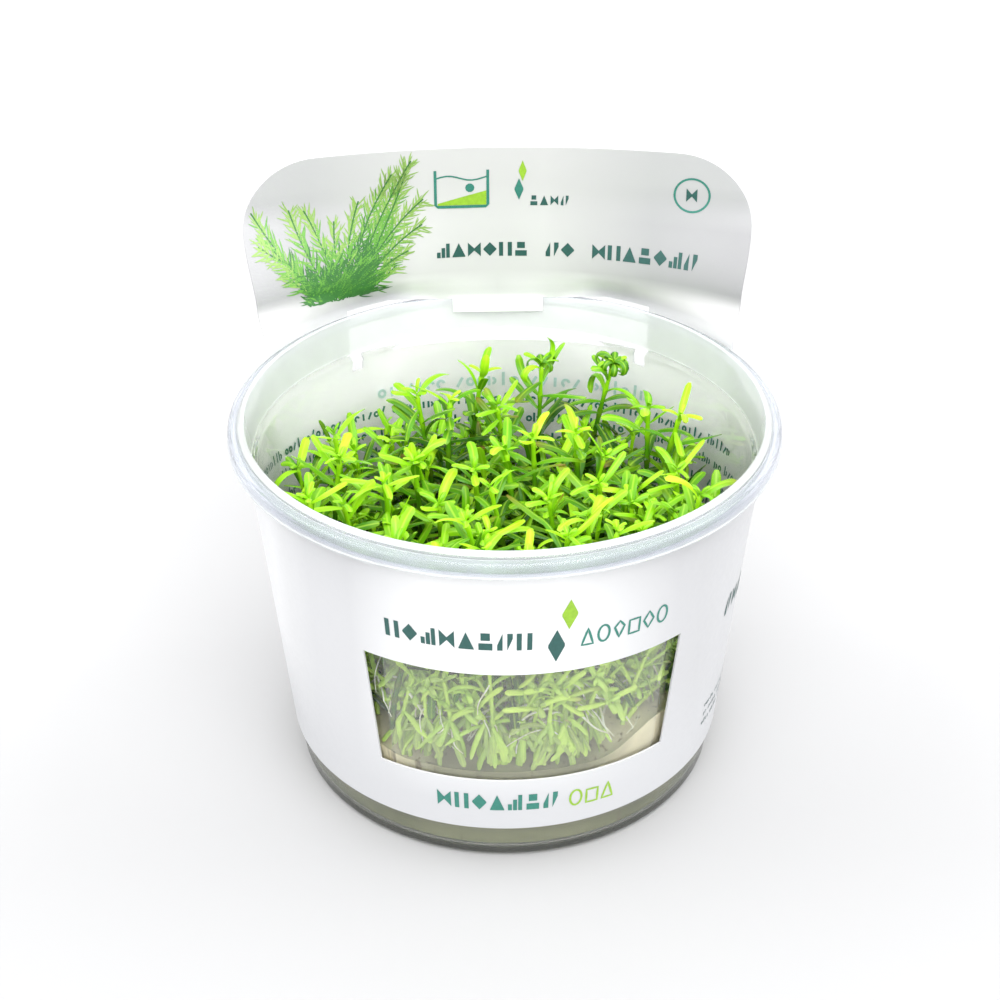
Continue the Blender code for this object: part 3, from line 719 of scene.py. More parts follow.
def build_gel():
    """The medium, its top faintly rippled, creeping up the wall and shrunk behind the window."""
    foot = FLOOR_TOP + GAP
    edge = wall_inside(GEL_HEIGHT) - GEL_CREEP_WIDTH
    creep = wall_inside(GEL_HEIGHT + GEL_CREEP) - GAP - edge
    outline = [(edge * i / GEL_RINGS, GEL_HEIGHT) for i in range(GEL_RINGS + 1)]
    for i in range(1, CREEP_RINGS + 1):
        share = i / CREEP_RINGS
        outline.append((edge + creep * share, GEL_HEIGHT + GEL_CREEP * share**CREEP_POWER))
    outline += [
        (wall_inside(foot + FLOOR_ROUND) - GAP, foot + FLOOR_ROUND),
        (wall_inside(0) - FLOOR_ROUND - GAP, foot),
        (0.0, foot),
    ]
    verts, faces = turned(outline, GEL_SIDES)
    for vert in verts:
        if vert.z > GEL_HEIGHT - WELD:
            calm = 1 - min(1.0, vert.xy.length / edge) ** 6
            vert.z += GEL_RIPPLE * noise.noise(vert * RIPPLE_SCALE) * calm - pocket_depth(vert)
    add_piece("medium", mesh_from("medium", verts, faces), culture_gel(), ["gel"])


# Card sleeve


def ring_radius(z):
    flare = max(0.0, z - FLARE_START)
    return SLEEVE_FOOT_RADIUS + WALL_SLOPE * (z - SLEEVE_FOOT) + FLARE * flare * flare


def hugging_point(share, middle):
    along = abs(share) * NECK_HALF
    side = copysign(1.0, share)
    if along <= FLAT_HALF:
        corner = HUG_RADIUS * cos(FLAT_ANGLE)
        return Vector((side * along, middle + (corner - middle) * (along / FLAT_HALF) ** 2))
    angle = FLAT_ANGLE + (along - FLAT_HALF) / HUG_RADIUS
    return Vector((side * HUG_RADIUS * sin(angle), HUG_RADIUS * cos(angle)))


def card_half_width(z):
    corner = max(0.0, z - (CARD_TOP - CARD_CORNER))
    return CARD_HALF - CARD_CORNER + sqrt(max(0.0, CARD_CORNER**2 - corner**2))


def card_middle(z):
    if z <= SLOT_TOP:
        share = (z - SLEEVE_TOP) / (SLOT_TOP - SLEEVE_TOP)
        return DEPTH_AT_SLEEVE_TOP + (DEPTH_AT_SLOT - DEPTH_AT_SLEEVE_TOP) * share
    share = (z - SLOT_TOP) / (CARD_TOP - SLOT_TOP)
    return DEPTH_AT_SLOT + (DEPTH_AT_CARD_TOP - DEPTH_AT_SLOT) * share


def bent_point(share, z):
    fade = smooth((z - BULGE_CLEAR) / BEND_FADE)
    bend = CARD_BEND_LOW + (CARD_BEND_HIGH - CARD_BEND_LOW) * fade
    turn = share * card_half_width(z) * bend
    return Vector((sin(turn) / bend, card_middle(z) - (1 - cos(turn)) / bend))


def back_point(share, z):
    """A point of the sleeve's back, share running from -1 to 1 between the sides of the card."""
    if z >= SLEEVE_TOP:
        start = hugging_point(share, card_middle(min(z, SLOT_TOP)))
        end = bent_point(share, z)
        blend = smooth((z - SLOT_TOP) / (BULGE_CLEAR - SLOT_TOP))
    else:
        angle = copysign(abs(share) ** NECK_POWER, share) * NECK_ANGLE
        radius = ring_radius(z)
        start = Vector((radius * sin(angle), radius * cos(angle)))
        end = hugging_point(share, DEPTH_AT_SLEEVE_TOP)
        blend = smooth((z - FLARE_START) / (SLEEVE_TOP - FLARE_START))
    point = start.lerp(end, blend)
    crown = CARD_CROWN * smooth((z - BULGE_CLEAR) / (CARD_TOP - BULGE_CLEAR)) * share**2
    return Vector((point.x, point.y, z - crown))


def side_point(angle, z):
    """A point of the rest of the ring, by its angle from the front."""
    past_neck = pi - NECK_ANGLE - abs(angle)
    near = smooth((z - FLARE_START) / (SLEEVE_TOP - FLARE_START))
    near *= 1 - smooth(past_neck / NECK_FADE)
    radius = ring_radius(z) * (1 - near) + HUG_RADIUS * near
    return Vector((radius * sin(angle), -radius * cos(angle), z))


def spread(marks, cell):
    """The marks, with even steps no longer than a cell between them."""
    steps = [marks[0]]
    for start, stop in zip(marks, marks[1:]):
        cells = max(1, ceil(abs(stop - start) / cell - 1e-6))
        steps += [start + (stop - start) * i / cells for i in range(1, cells + 1)]
    return steps


def share_at(half):
    """The share of the back at a distance to the side, where it hugs the flange."""
    if half <= FLAT_HALF:
        return half / NECK_HALF
    return (FLAT_HALF + HUG_RADIUS * (asin(half / HUG_RADIUS) - FLAT_ANGLE)) / NECK_HALF


def front_angles(z):
    """Angles from neck to neck around the front, in even steps beside and across the window."""
    end = pi - NECK_ANGLE
    widen = WINDOW_SPREAD * (z - WINDOW_FOOT) / (WINDOW_TOP - WINDOW_FOOT)
    left = WINDOW_OFFSET - WINDOW_HALF_ANGLE - widen
    right = WINDOW_OFFSET + WINDOW_HALF_ANGLE + widen
    angles = [-end]
    spans = ((-end, left, SIDE_COLUMNS), (left, right, WINDOW_COLUMNS), (right, end, SIDE_COLUMNS))
    for start, stop, cells in spans:
        angles += [start + (stop - start) * i / cells for i in range(1, cells + 1)]
    return angles


class Sheet:
    """A sheet in the making: rows of points, and faces between neighbouring rows."""

    def __init__(self):
        self.bm = bmesh.new()

    def row(self, points):
        return [self.bm.verts.new(point) for point in points]

    def join(self, low, high, keep=None):
        for i in range(len(low) - 1):
            if keep is None or keep(i):
                self.bm.faces.new((low[i], low[i + 1], high[i + 1], high[i]))


def add_ring(sheet, shares):
    """The ring below the flange, open at the window, the slot and its two relief notches."""
    slot = share_at(SLOT_HALF)
    notch_in, notch_out = (share_at(half) for half in NOTCH_HALVES)
    marks = (SLEEVE_FOOT, WINDOW_FOOT, WINDOW_TOP, FLARE_START, NOTCH_FOOT, SLOT_FOOT, SLEEVE_TOP)
    below = None
    for z in spread(marks, CARD_CELL):
        back = sheet.row([back_point(share, z) for share in shares])
        sides = sheet.row([side_point(angle, z) for angle in front_angles(z)[1:-1]])
        front = [back[0], *sides, back[-1]]
        if below:
            low_back, low_front, low_z = below
            middle = (low_z + z) / 2

            def solid_back(i):
                off = abs(shares[i] + shares[i + 1]) / 2
                at_slot = middle > SLOT_FOOT and off < slot
                at_notch = NOTCH_FOOT < middle < SLOT_FOOT and notch_in < off < notch_out
                return not (at_slot or at_notch)

            def solid_front(i):
                at_window = SIDE_COLUMNS <= i < SIDE_COLUMNS + WINDOW_COLUMNS
                return not (at_window and WINDOW_FOOT < middle < WINDOW_TOP)

            sheet.join(back, low_back, solid_back)
            sheet.join(low_front, front, solid_front)
        below = (back, front, z)
    return below[0]


def add_tongue(sheet, hem):
    """The tongue folds over the rim's back and hangs inside it."""
    for z in spread((SLOT_TOP - TONGUE_FOLD, TONGUE_FOOT), TONGUE_FOLD):
        drop = sheet.row([(vert.co.x, TONGUE_DEPTH, z) for vert in hem])
        sheet.join(hem, drop)
        hem = drop


def add_card(sheet, shares, below):
    """The raised card with its round corners, open at the slot."""
    slot, tongue = share_at(SLOT_HALF), share_at(TONGUE_HALF)
    corner = CARD_TOP - CARD_CORNER
    rows = spread((SLEEVE_TOP, SLOT_TOP, BULGE_CLEAR, corner), CARD_CELL)[1:]
    rows += [corner + CARD_CORNER * sin(turn) for turn in spread((0.0, pi / 2), CORNER_CELL)[1:]]
    for z in rows:
        above = sheet.row([back_point(share, z) for share in shares])
        raised = z > SLOT_TOP + WELD
        sheet.join(above, below, lambda i: raised or abs(shares[i] + shares[i + 1]) / 2 > slot)
        if abs(z - SLOT_TOP) < WELD:
            add_tongue(sheet, [vert for vert, share in zip(above, shares) if abs(share) < tongue + 1e-6])
        below = above


def build_sleeve():
    sheet = Sheet()
    halves = (TONGUE_HALF, FLAT_HALF, *NOTCH_HALVES, SLOT_HALF)
    half = spread([0.0, *map(share_at, halves), 1.0], CARD_CELL / NECK_HALF)
    shares = [-share for share in reversed(half)] + half[1:]
    add_card(sheet, shares, add_ring(sheet, shares))
    bm = sheet.bm
    bmesh.ops.delete(bm, geom=[vert for vert in bm.verts if not vert.link_faces], context="VERTS")
    bmesh.ops.recalc_face_normals(bm, faces=bm.faces)
    if min(bm.faces, key=lambda face: face.calc_center_median().y).normal.y > 0:
        bmesh.ops.reverse_faces(bm, faces=bm.faces)
    mesh = bpy.data.meshes.new("thin_card")
    bm.to_mesh(mesh)
    bm.free()
    thin = put("thin_card", mesh)
    thicken = thin.modifiers.new("Card", "SOLIDIFY")
    thicken.thickness = CARD_THICKNESS
    thicken.offset = -1.0
    graph = bpy.context.evaluated_depsgraph_get()
    solid = bpy.data.meshes.new_from_object(thin.evaluated_get(graph))
    bpy.data.objects.remove(thin)
    solid.shade_smooth()
    solid.set_sharp_from_angle(angle=radians(35))
    add_piece("card_sleeve", solid, card_stock(), ["sleeve"])


# Print: ribbons, each a row of point pairs in flat metres, laid on a face of the card


def on_front(along, z):
    """A place on the ring's outer face, by its distance along from below the window's middle."""
    angle = WINDOW_OFFSET + along / ring_radius(FLARE_START)
    radius = ring_radius(z) + PRINT_LIFT
    return Vector((radius * sin(angle), -radius * cos(angle), z))


def on_card(along, z):
    """A place on the raised card's front face."""
    width = card_half_width(z) if z > SLEEVE_TOP else ring_radius(z) * NECK_ANGLE
    share = along / width
    here = back_point(share, z)
    aside = back_point(share + 0.01, z) - here
    upward = back_point(share, z + 0.1 * MM) - here
    return here + aside.cross(upward).normalized() * (CARD_THICKNESS + PRINT_LIFT)


def on_inside(along, z):
    """A place on the inner face of the ring, by its distance along from the middle of the back."""
    angle = along / ring_radius(FLARE_START)
    z += ROW_SAG * angle**2
    radius = ring_radius(z) - CARD_THICKNESS - PRINT_LIFT
    return Vector((radius * sin(angle), radius * cos(angle), z))


def ring(x, z, radius, line, start=0.0, stop=2 * pi):
    ribbon = []
    for turn in spread((start, stop), PRINT_CELL / radius):
        ribbon.append([(x + cos(turn) * r, z + sin(turn) * r) for r in (radius - line, radius)])
    return ribbon


def blade(root, turn, length, width, curve):
    """A tapering blade that starts at a root and bends as it goes."""
    ribbon = []
    here = Vector(root)
    steps = 8
    for i in range(steps + 1):
        share = i / steps
        heading = turn + curve * share
        aim = Vector((sin(heading), cos(heading)))
        side = Vector((aim.y, -aim.x)) * width / 2 * (sin(pi * (0.12 + 0.86 * share)) ** 0.7)
        ribbon.append((here - side, here + side))
        here = here + aim * length / steps
    return ribbon


def stroke(points, line, closed=False):
    """A line of even width through some points."""
    points = [Vector(point) for point in points]
    if closed:
        points = [points[-1], *points, points[0], points[1]]
    ribbon = []
    for i, point in enumerate(points):
        aim = (points[min(i + 1, len(points) - 1)] - points[max(i - 1, 0)]).normalized()
        side = Vector((-aim.y, aim.x)) * line / 2
        ribbon.append((point - side, point + side))
    return ribbon[1:-1] if closed else ribbon


def lay(name, ribbons, place, material):
    """Lays ribbons on a face and joins them in one thin piece."""
    verts, faces = [], []
    for ribbon in ribbons:
        first = len(verts)
        verts += [place(*end) for pair in ribbon for end in pair]
        faces += [(i, i + 1, i + 3, i + 2) for i in range(first, len(verts) - 2, 2)]
    mesh = bpy.data.meshes.new(name)
    mesh.from_pydata(verts, [], faces)
    mesh.shade_smooth()
    add_piece(name, mesh, material)


def slab(left, right, low, high):
    return ((left, low, high), (right, low, high))


# Plain forms in a unit box, each a list of stops: how far along, its low and its high edge
SOLID_FORMS = {
    "lozenge": (((0.0, 0.46, 0.54), (0.5, 0.0, 1.0), (1.0, 0.46, 0.54)),),
    "wedge": (((0.0, 0.0, 0.06), (0.5, 0.0, 1.0), (1.0, 0.0, 0.06)),),
    "bow": (((0.0, 0.0, 1.0), (0.5, 0.42, 0.58), (1.0, 0.0, 1.0)),),
    "slant": (((0.0, 0.0, 0.3), (0.35, 0.0, 1.0)), ((0.65, 0.0, 1.0), (1.0, 0.7, 1.0))),
    "twins": (slab(0.0, 0.32, 0.0, 1.0), slab(0.68, 1.0, 0.0, 1.0)),
    "stairs": (slab(0.0, 0.28, 0.0, 0.4), slab(0.36, 0.64, 0.0, 0.7), slab(0.72, 1.0, 0.0, 1.0)),
    "drums": (slab(0.05, 0.95, 0.0, 0.4), slab(0.2, 0.8, 0.56, 1.0)),
    "gap": (),
}
TURNS = [k * pi / 8 for k in range(16)]
LINE_FORMS = {
    "lozenge": ((0.5, 0.0), (1.0, 0.5), (0.5, 1.0), (0.0, 0.5)),
    "frame": ((0.0, 0.0), (1.0, 0.0), (1.0, 0.85), (0.0, 0.85)),
    "peak": ((0.0, 0.0), (1.0, 0.0), (0.5, 1.0)),
    "ellipse": [(0.5 + 0.5 * cos(turn), 0.5 + 0.5 * sin(turn)) for turn in TURNS],
    "kite": ((0.5, 0.0), (0.95, 0.65), (0.5, 1.0), (0.05, 0.65)),
}


def solid_line(forms, *sizes):
    """A line of solid forms, by where it starts, their width, their height and their pitch in mm."""
    x, z, wide, tall, pitch = mm(*sizes)
    ribbons = []
    for form in forms.split():
        for stops in SOLID_FORMS[form]:
            ribbons.append([[(x + u * wide, z + edge * tall) for edge in edges] for u, *edges in stops])
        x += pitch
    return ribbons


def drawn_line(forms, *sizes):
    """A line of forms drawn in outline, with the width of its stroke after the other sizes."""
    x, z, wide, tall, pitch, line = mm(*sizes)
    ribbons = []
    for form in forms.split():
        points = [Vector((x + u * wide, z + v * tall)) for u, v in LINE_FORMS[form]]
        fine = []
        for here, there in zip(points, points[1:] + points[:1]):
            cells = max(1, ceil((there - here).length / (2 * PRINT_CELL)))
            fine += [here.lerp(there, i / cells) for i in range(cells)]
        ribbons.append(stroke(fine, line, closed=True))
        x += pitch
    return ribbons


def small_mark(rng, x, z, tall, line):
    """A tick, a slant, a ring or a hook, no bigger than the print's smallest forms."""
    kind = rng.randrange(6)
    top = z + tall * rng.choice((0.7, 0.7, 1.0))
    middle = z + 0.35 * tall
    if kind < 2:
        return [stroke(((x, z), (x, top)), line)]
    if kind == 2:
        return [stroke(((x - 0.2 * tall, z), (x + 0.2 * tall, top)), line)]
    if kind == 3:
        return [ring(x, middle, 0.35 * tall, line)]
    if kind == 4:
        return [ring(x, middle, 0.35 * tall, line, 0.2, 4.4)]
    left = x - 0.25 * tall
    return [stroke(((left, z), (left, top)), line), ring(x, middle, 0.3 * tall, line, -1.6, 1.6)]


def mark_row(rng, most, *sizes):
    """A row of small marks in groups, by its start, end and height, and the marks' sizes in mm."""
    x, end, z, tall, line = mm(*sizes)
    ribbons = []
    while x < end:
        for _ in range(rng.randint(2, most)):
            ribbons += small_mark(rng, x, z, tall, line)
            x += 0.78 * tall
        x += 0.6 * tall
    return ribbons


def plant_drawing(rng):
    """A plain drawing of a bushy stem plant: fanned stems with needle leaves in three greens."""
    tones = ([], [], [])
    foot = Vector(DRAWN_FOOT)
    for lean, length, bend in DRAWN_STEMS:
        turn = radians(lean)
        here = foot + Vector((turn * 3.0 * MM, rng.uniform(0.0, 1.0) * MM))
        steps = int(length / DRAWN_STEP)
        for i in range(steps):
            share = i / steps
            heading = turn * 0.75 + radians(bend) * (share - 0.3) * 2
            ahead = here + Vector((sin(heading), cos(heading))) * length * MM / steps
            tones[2].append(stroke((here, ahead), 0.30 * MM))
            for side in (-1, -1, 1, 1):
                angle = heading + side * rng.uniform(0.25, 1.1)
                size = rng.uniform(2.4, 5.0) * MM * (1.0 - 0.35 * share)
                deep = share + rng.uniform(-0.25, 0.25)
                tone = 2 if deep < 0.3 else 1 if deep < 0.6 else 0
                tones[tone].append(blade(here, angle, size, DRAWN_NEEDLE, -side * rng.uniform(0, 0.6)))
            here = ahead
    for _ in range(TUFT_BLADES):
        here = foot + Vector((rng.triangular(-7.5, 7.5), abs(rng.gauss(0, 2.4)) + 0.3)) * MM
        tone = rng.choice((1, 2, 2, 2))
        turn, length = rng.uniform(-1.5, 1.5), rng.uniform(1.6, 3.2) * MM
        tones[tone].append(blade(here, turn, length, 0.36 * MM, 0.0))
    return [[ribbon for ribbon in ribbons if on_the_card(ribbon)] for ribbons in tones]


def on_the_card(ribbon):
    return all(abs(x) < card_half_width(z) - DRAWN_EDGE for pair in ribbon for x, z in pair)


def print_card():
    """Generic print: rows of plain forms, a drawn plant and a few plain signs."""
    teal = ink("ink_teal", (0.022, 0.095, 0.085))
    sea = ink("ink_sea", (0.03, 0.20, 0.155))
    lime = ink("ink_lime", (0.28, 0.50, 0.03))
    grass = ink("ink_grass", (0.13, 0.36, 0.05))
    rng = random.Random(EXTRA_SEED)
    pale, bright, dark = plant_drawing(rng)
    lay("print_leaves_dark", dark, on_card, ink("ink_moss", (0.04, 0.17, 0.035)))
    lay("print_leaves_bright", bright, on_card, grass)
    lay("print_leaves_pale", pale, on_card, ink("ink_leaf", (0.26, 0.44, 0.10)))
    print_signs(teal, sea, lime)
    print_lines(teal, sea, lime)
    print_inside(rng, sea)


def print_signs(teal, sea, lime):
    """The raised card's signs: a framed slope, a pair of lozenges and a ring, over a line of forms."""
    frame = ((-12, 97.6), (-12, 90.6), (-11.6, 90.2), (-2.2, 90.2), (-1.8, 90.6), (-1.8, 97.6))
    wave = [(-11.8 + k, 96 + 0.45 * sin(k * 0.7)) for k in range(11)]
    signs = [stroke([mm(*point) for point in frame], 0.55 * MM)]
    signs.append(stroke([mm(*point) for point in wave], 0.3 * MM))
    signs += [ring(*mm(37.8, 93.4, 3.6, 0.42)), ring(*mm(-5.3, 94.0, 0.9, 0.88))]
    signs += solid_line("lozenge", 3.4, 91.4, 1.7, 4.4, 0)
    lay("print_signs", signs, on_card, sea)
    slope = [[[mm(-11.6 + k * 1.9, z) for z in (90.5, 90.9 + 0.5 * k)] for k in range(6)]]
    slope += solid_line("lozenge", 4.2, 95.2, 1.5, 4.2, 0)
    lay("print_slope", slope, on_card, lime)
    name = "stairs wedge bow lozenge twins drums gap slant lozenge gap bow twins wedge drums lozenge"
    forms = solid_line(name + " stairs slant", -12.0, 79.8, 2.55, 2.9, 3.08)
    forms += solid_line("drums wedge bow slant", 6.4, 90.3, 1.5, 2.0, 2.0)
    forms += solid_line("bow", 36.7, 92.0, 2.1, 2.8, 0)
    lay("print_name", forms, on_card, teal)


def print_lines(teal, sea, lime):
    """The ring's lines over and under the window, and small ones at its right side."""
    title = solid_line("twins lozenge stairs bow wedge drums slant twins", -24.4, 50.5, 2.55, 3.7, 3.2)
    title += solid_line("lozenge", 3.2, 47.4, 2.8, 7.0, 0)
    title += solid_line("slant bow stairs", 45.4, 39.4, 2.4, 4.2, 3.6)
    lay("print_title", title, on_front, teal)
    second = drawn_line("peak ellipse kite frame lozenge ellipse", 8.9, 50.2, 2.0, 3.5, 2.85, 0.42)
    second += solid_line("bow twins lozenge wedge stairs drums slant", -17.0, 12.8, 2.7, 3.8, 3.4)
    lay("print_second", second, on_front, sea)
    sprout = solid_line("lozenge", 5.3, 54.2, 2.6, 6.6, 0)
    sprout += drawn_line("ellipse frame peak", 8.6, 12.4, 2.3, 3.7, 3.3, 0.45)
    lay("print_sprout", sprout, on_front, lime)
    rng = random.Random(SEED)
    small = [mark_row(rng, 7, 43.7, 58 + k, 19.4 - 2.2 * k, 1.2, 0.26) for k in range(3)]
    lay("print_small", itertools.chain(*small), on_front, teal)


def print_inside(rng, sea):
    """Rows of small marks around the ring's inner side, under a pale heading."""
    rows = [mark_row(rng, 9, rng.uniform(-66, -62), 60, 47.4 - 4.3 * k, 2.05, 0.46) for k in range(4)]
    lay("print_rows", itertools.chain(*rows), on_inside, sea)
    heading = mark_row(rng, 7, -25, 22, 51.2, 2.9, 0.6)
    lay("print_heading", heading, on_inside, ink("ink_pale", (0.62, 0.84, 0.78)))


# Shoots, planned as in the part


def bed_height(x, y):
    behind = smooth((y - BACK_START) / BACK_FADE)
    return MAT_TOP - BACK_DROP * behind - SIDE_DROP * abs(x)


class Shoot:
    """One shoot: where its stem runs and which way its pairs of leaves point."""

    def __init__(self, foot, top, lean, twist, internode):
        self.foot = Vector(foot)
        self.rise = top - self.foot.z
        self.lean = lean
        self.twist = twist
        self.internode = internode
        self.ceiling = RIM_HEIGHT - RIM_CLEARANCE if top > TALL else MAT_CEILING
        self.leaves = []

    def point(self, height):
        share = max(0.0, height / self.rise)
        return self.foot + Vector((0, 0, height)) + self.lean * share**LEAN_POWER

    def frame(self, height):
        step = 0.5 * MM
        along = (self.point(height + step) - self.point(height - step)).normalized()
        side = Vector((cos(self.twist), sin(self.twist), 0.0))
        side = (side - along * side.dot(along)).normalized()
        return along, side, along.cross(side)

    def leaf_directions(self, pair, turn):
        along, side, front = self.frame(self.node_height(pair))
        out = around(side, front, turn * pi / 2)
        return along, out, along.cross(out).normalized()

    def node_height(self, pair):
        return self.rise - NODE_HALF - pair * self.internode

    def ring(self, height, half):
        _, side, front = self.frame(height)
        middle = self.point(height)
        return [middle + side * half * a + front * half * b for a, b in CORNERS]


def leaf_sections(shoot, pair, turn, rise, length, droop):
    along, out, across = shoot.leaf_directions(pair, turn)
    root = shoot.point(shoot.node_height(pair)) + out * STEM_HALF
    heading = around(out, along, rise).normalized()
    middle = root + heading * length * LEAF_BEND
    lowered = around(out, along, rise - droop).normalized()
    tip = middle + lowered * length * (1 - LEAF_BEND)
    return (
        (middle, across, across.cross(heading), LEAF_WIDTH / 2),
        (tip, across, across.cross(lowered), LEAF_TIP_WIDTH / 2),
    )


def tube_faces(rings):
    last = 4 * (rings - 1)
    faces = [(0, 1, 2, 3), (last, last + 1, last + 2, last + 3)]
    for base in range(0, last, 4):
        for i in range(4):
            j = (i + 1) % 4
            faces.append((base + i, base + j, base + 4 + j, base + 4 + i))
    return faces


def leaf_hull(shoot, pair, turn, rise, length, droop, slim=1.0):
    middle, tip = leaf_sections(shoot, pair, turn, rise, length, droop)
    along, out, across = shoot.leaf_directions(pair, turn)
    root = shoot.point(shoot.node_height(pair)) + out * (STEM_HALF + ROOT_CLEARANCE)
    thick = LEAF_THICKNESS / 2 + LEAF_CLEARANCE
    beyond = tip[0] + (tip[0] - middle[0]).normalized() * LEAF_CLEARANCE
    stations = (
        (root, across, along, STEM_HALF, NODE_HALF),
        (*middle, thick),
        (beyond, *tip[1:], thick),
    )
    verts = []
    for centre, wide, normal, half, depth in stations:
        swollen = (half + LEAF_CLEARANCE) * slim
        verts += [centre + wide * swollen * a + normal * depth * slim * b for a, b in CORNERS]
    return verts, tube_faces(len(stations))


def stem_hull(shoot, half=STEM_HALF + STEM_SWELL):
    rings = [shoot.ring(shoot.rise * i / STEM_TEST_RINGS, half) for i in range(STEM_TEST_RINGS + 1)]
    return [*itertools.chain(*rings)], tube_faces(len(rings))


def inside_cup(points, ceiling):
    for point in points:
        limit = wall_inside(min(point.z, STEP_HEIGHT)) - WALL_CLEARANCE
        if hypot(point.x, point.y) > limit or not GEL_HEIGHT + GEL_CLEARANCE < point.z < ceiling:
            return False
    return True


def box_of(verts):
    return [Vector([pick(vert[i] for vert in verts) for i in range(3)]) for pick in (min, max)]


def cells_of(low, high):
    """The cells of a coarse grid that a box reaches into."""
    spans = [range(int(low[i] // GRID_CELL), int(high[i] // GRID_CELL) + 1) for i in range(3)]
    return itertools.product(*spans)


class Obstacles:
    """What has been placed so far, as swollen pieces that nothing else may touch."""

    def __init__(self):
        self.placed = []
        self.grid = {}

    def add(self, verts, faces):
        low, high = box_of(verts)
        for cell in cells_of(low, high):
            self.grid.setdefault(cell, []).append(len(self.placed))
        self.placed.append((low, high, BVHTree.FromPolygons(verts, faces)))

    def free(self, verts, faces):
        low, high = box_of(verts)
        tree = BVHTree.FromPolygons(verts, faces)
        for index in {index for cell in cells_of(low, high) for index in self.grid.get(cell, ())}:
            other_low, other_high, other_tree = self.placed[index]
            apart = any(low[i] > other_high[i] or high[i] < other_low[i] for i in range(3))
            if not apart and tree.overlap(other_tree):
                return False
        return True


def bed_spots():
    spots = []
    for index in range(BED_SPOTS):
        distance = BED_RADIUS * sqrt((index + 0.5) / BED_SPOTS)
        bearing = index * GOLDEN_ANGLE
        x, y = distance * cos(bearing), distance * sin(bearing)
        if min(hypot(x - tx * MM, y - ty * MM) for tx, ty, _ in PROMINENT_TIPS) > SPOT_CLEARANCE:
            spots.append((x, y, None))
    return spots


def try_shoot(rng, x, y, tip_height):
    bearing = rng.uniform(0, 2 * pi)
    lean = Vector((cos(bearing), sin(bearing), 0)) * rng.uniform(*LEAN_SPREAD) * MM
    x += rng.uniform(-FOOT_SPREAD, FOOT_SPREAD) * MM
    y += rng.uniform(-FOOT_SPREAD, FOOT_SPREAD) * MM
    top = tip_height
    if tip_height is None:
        top = bed_height(x, y) + rng.uniform(*TOP_SPREAD) * MM
    else:
        x -= lean.x
        y -= lean.y
    twist = rng.uniform(0, pi / 2)
    internode = rng.uniform(*INTERNODE_SPREAD) * MM
    return Shoot((x, y, GEL_HEIGHT + GAP), top, lean, twist, internode)


def plan_stems(rng, obstacles):
    places = [mm(*tip) for tip in PROMINENT_TIPS] + bed_spots()
    shoots = []
    for place in places[:SHOOTS]:
        for _ in range(PLACING_TRIES):
            shoot = try_shoot(rng, *place)
            hull = stem_hull(shoot)
            tip = shoot.point(shoot.rise)
            on_bed = shoot.foot.xy.length < BED_RADIUS
            if on_bed and tip.xy.length < wall_inside(tip.z) - TIP_MARGIN and obstacles.free(*hull):
                shoots.append(shoot)
                obstacles.add(*hull)
                break
    return shoots


def draw_stance(rng, pair, turn, loosen):
    rise = LEAF_RISE[pair] + rng.uniform(-RISE_SPREAD, RISE_SPREAD) * (1 + loosen)
    rise += RISE_RELIEF * loosen
    length = LEAF_LENGTH[pair] * rng.uniform(1 - LENGTH_SPREAD, 1 + LENGTH_SPREAD)
    length *= 1 - LENGTH_RELIEF * loosen
    droop = rng.uniform(0, DROOP) * (1 - loosen)
    turn += rng.uniform(-SWING, SWING) * (1 + loosen)
    return turn, radians(rise), length * MM, radians(droop)


def place_leaf(shoot, pair, stances, obstacles, slim=1.0):
    """A leaf in the first of its stances that is free."""
    for stance in stances:
        hull = leaf_hull(shoot, pair, *stance, slim)
        if inside_cup(hull[0], shoot.ceiling) and obstacles.free(*hull):
            shoot.leaves.append((pair, *stance))
            obstacles.add(*hull)
            return


def plan_leaves(rng, shoots, obstacles):
    for pair, shoot, side in itertools.product(range(LEAF_PAIRS), shoots, (0, 2)):
        shares = (attempt / (LEAF_TRIES - 1) for attempt in range(LEAF_TRIES))
        stances = (draw_stance(rng, pair, side + pair % 2, loosen) for loosen in shares)
        place_leaf(shoot, pair, stances, obstacles)


# Finer growth around the planned shoots


def looser_stances(rng, turn, rise, length):
    """Stances further from the natural one each try."""
    for attempt in range(EXTRA_TRIES):
        loosen = attempt / EXTRA_TRIES
        swing = turn + rng.uniform(-0.4, 0.4) * (0.5 + loosen)
        angle = radians(rise + rng.uniform(-34, 30) * (1 + loosen))
        size = length * rng.uniform(0.85, 1.3) * (1 - 0.4 * loosen) * MM
        yield swing, angle, size, radians(rng.uniform(0, 48)) * (1 - 0.6 * loosen)


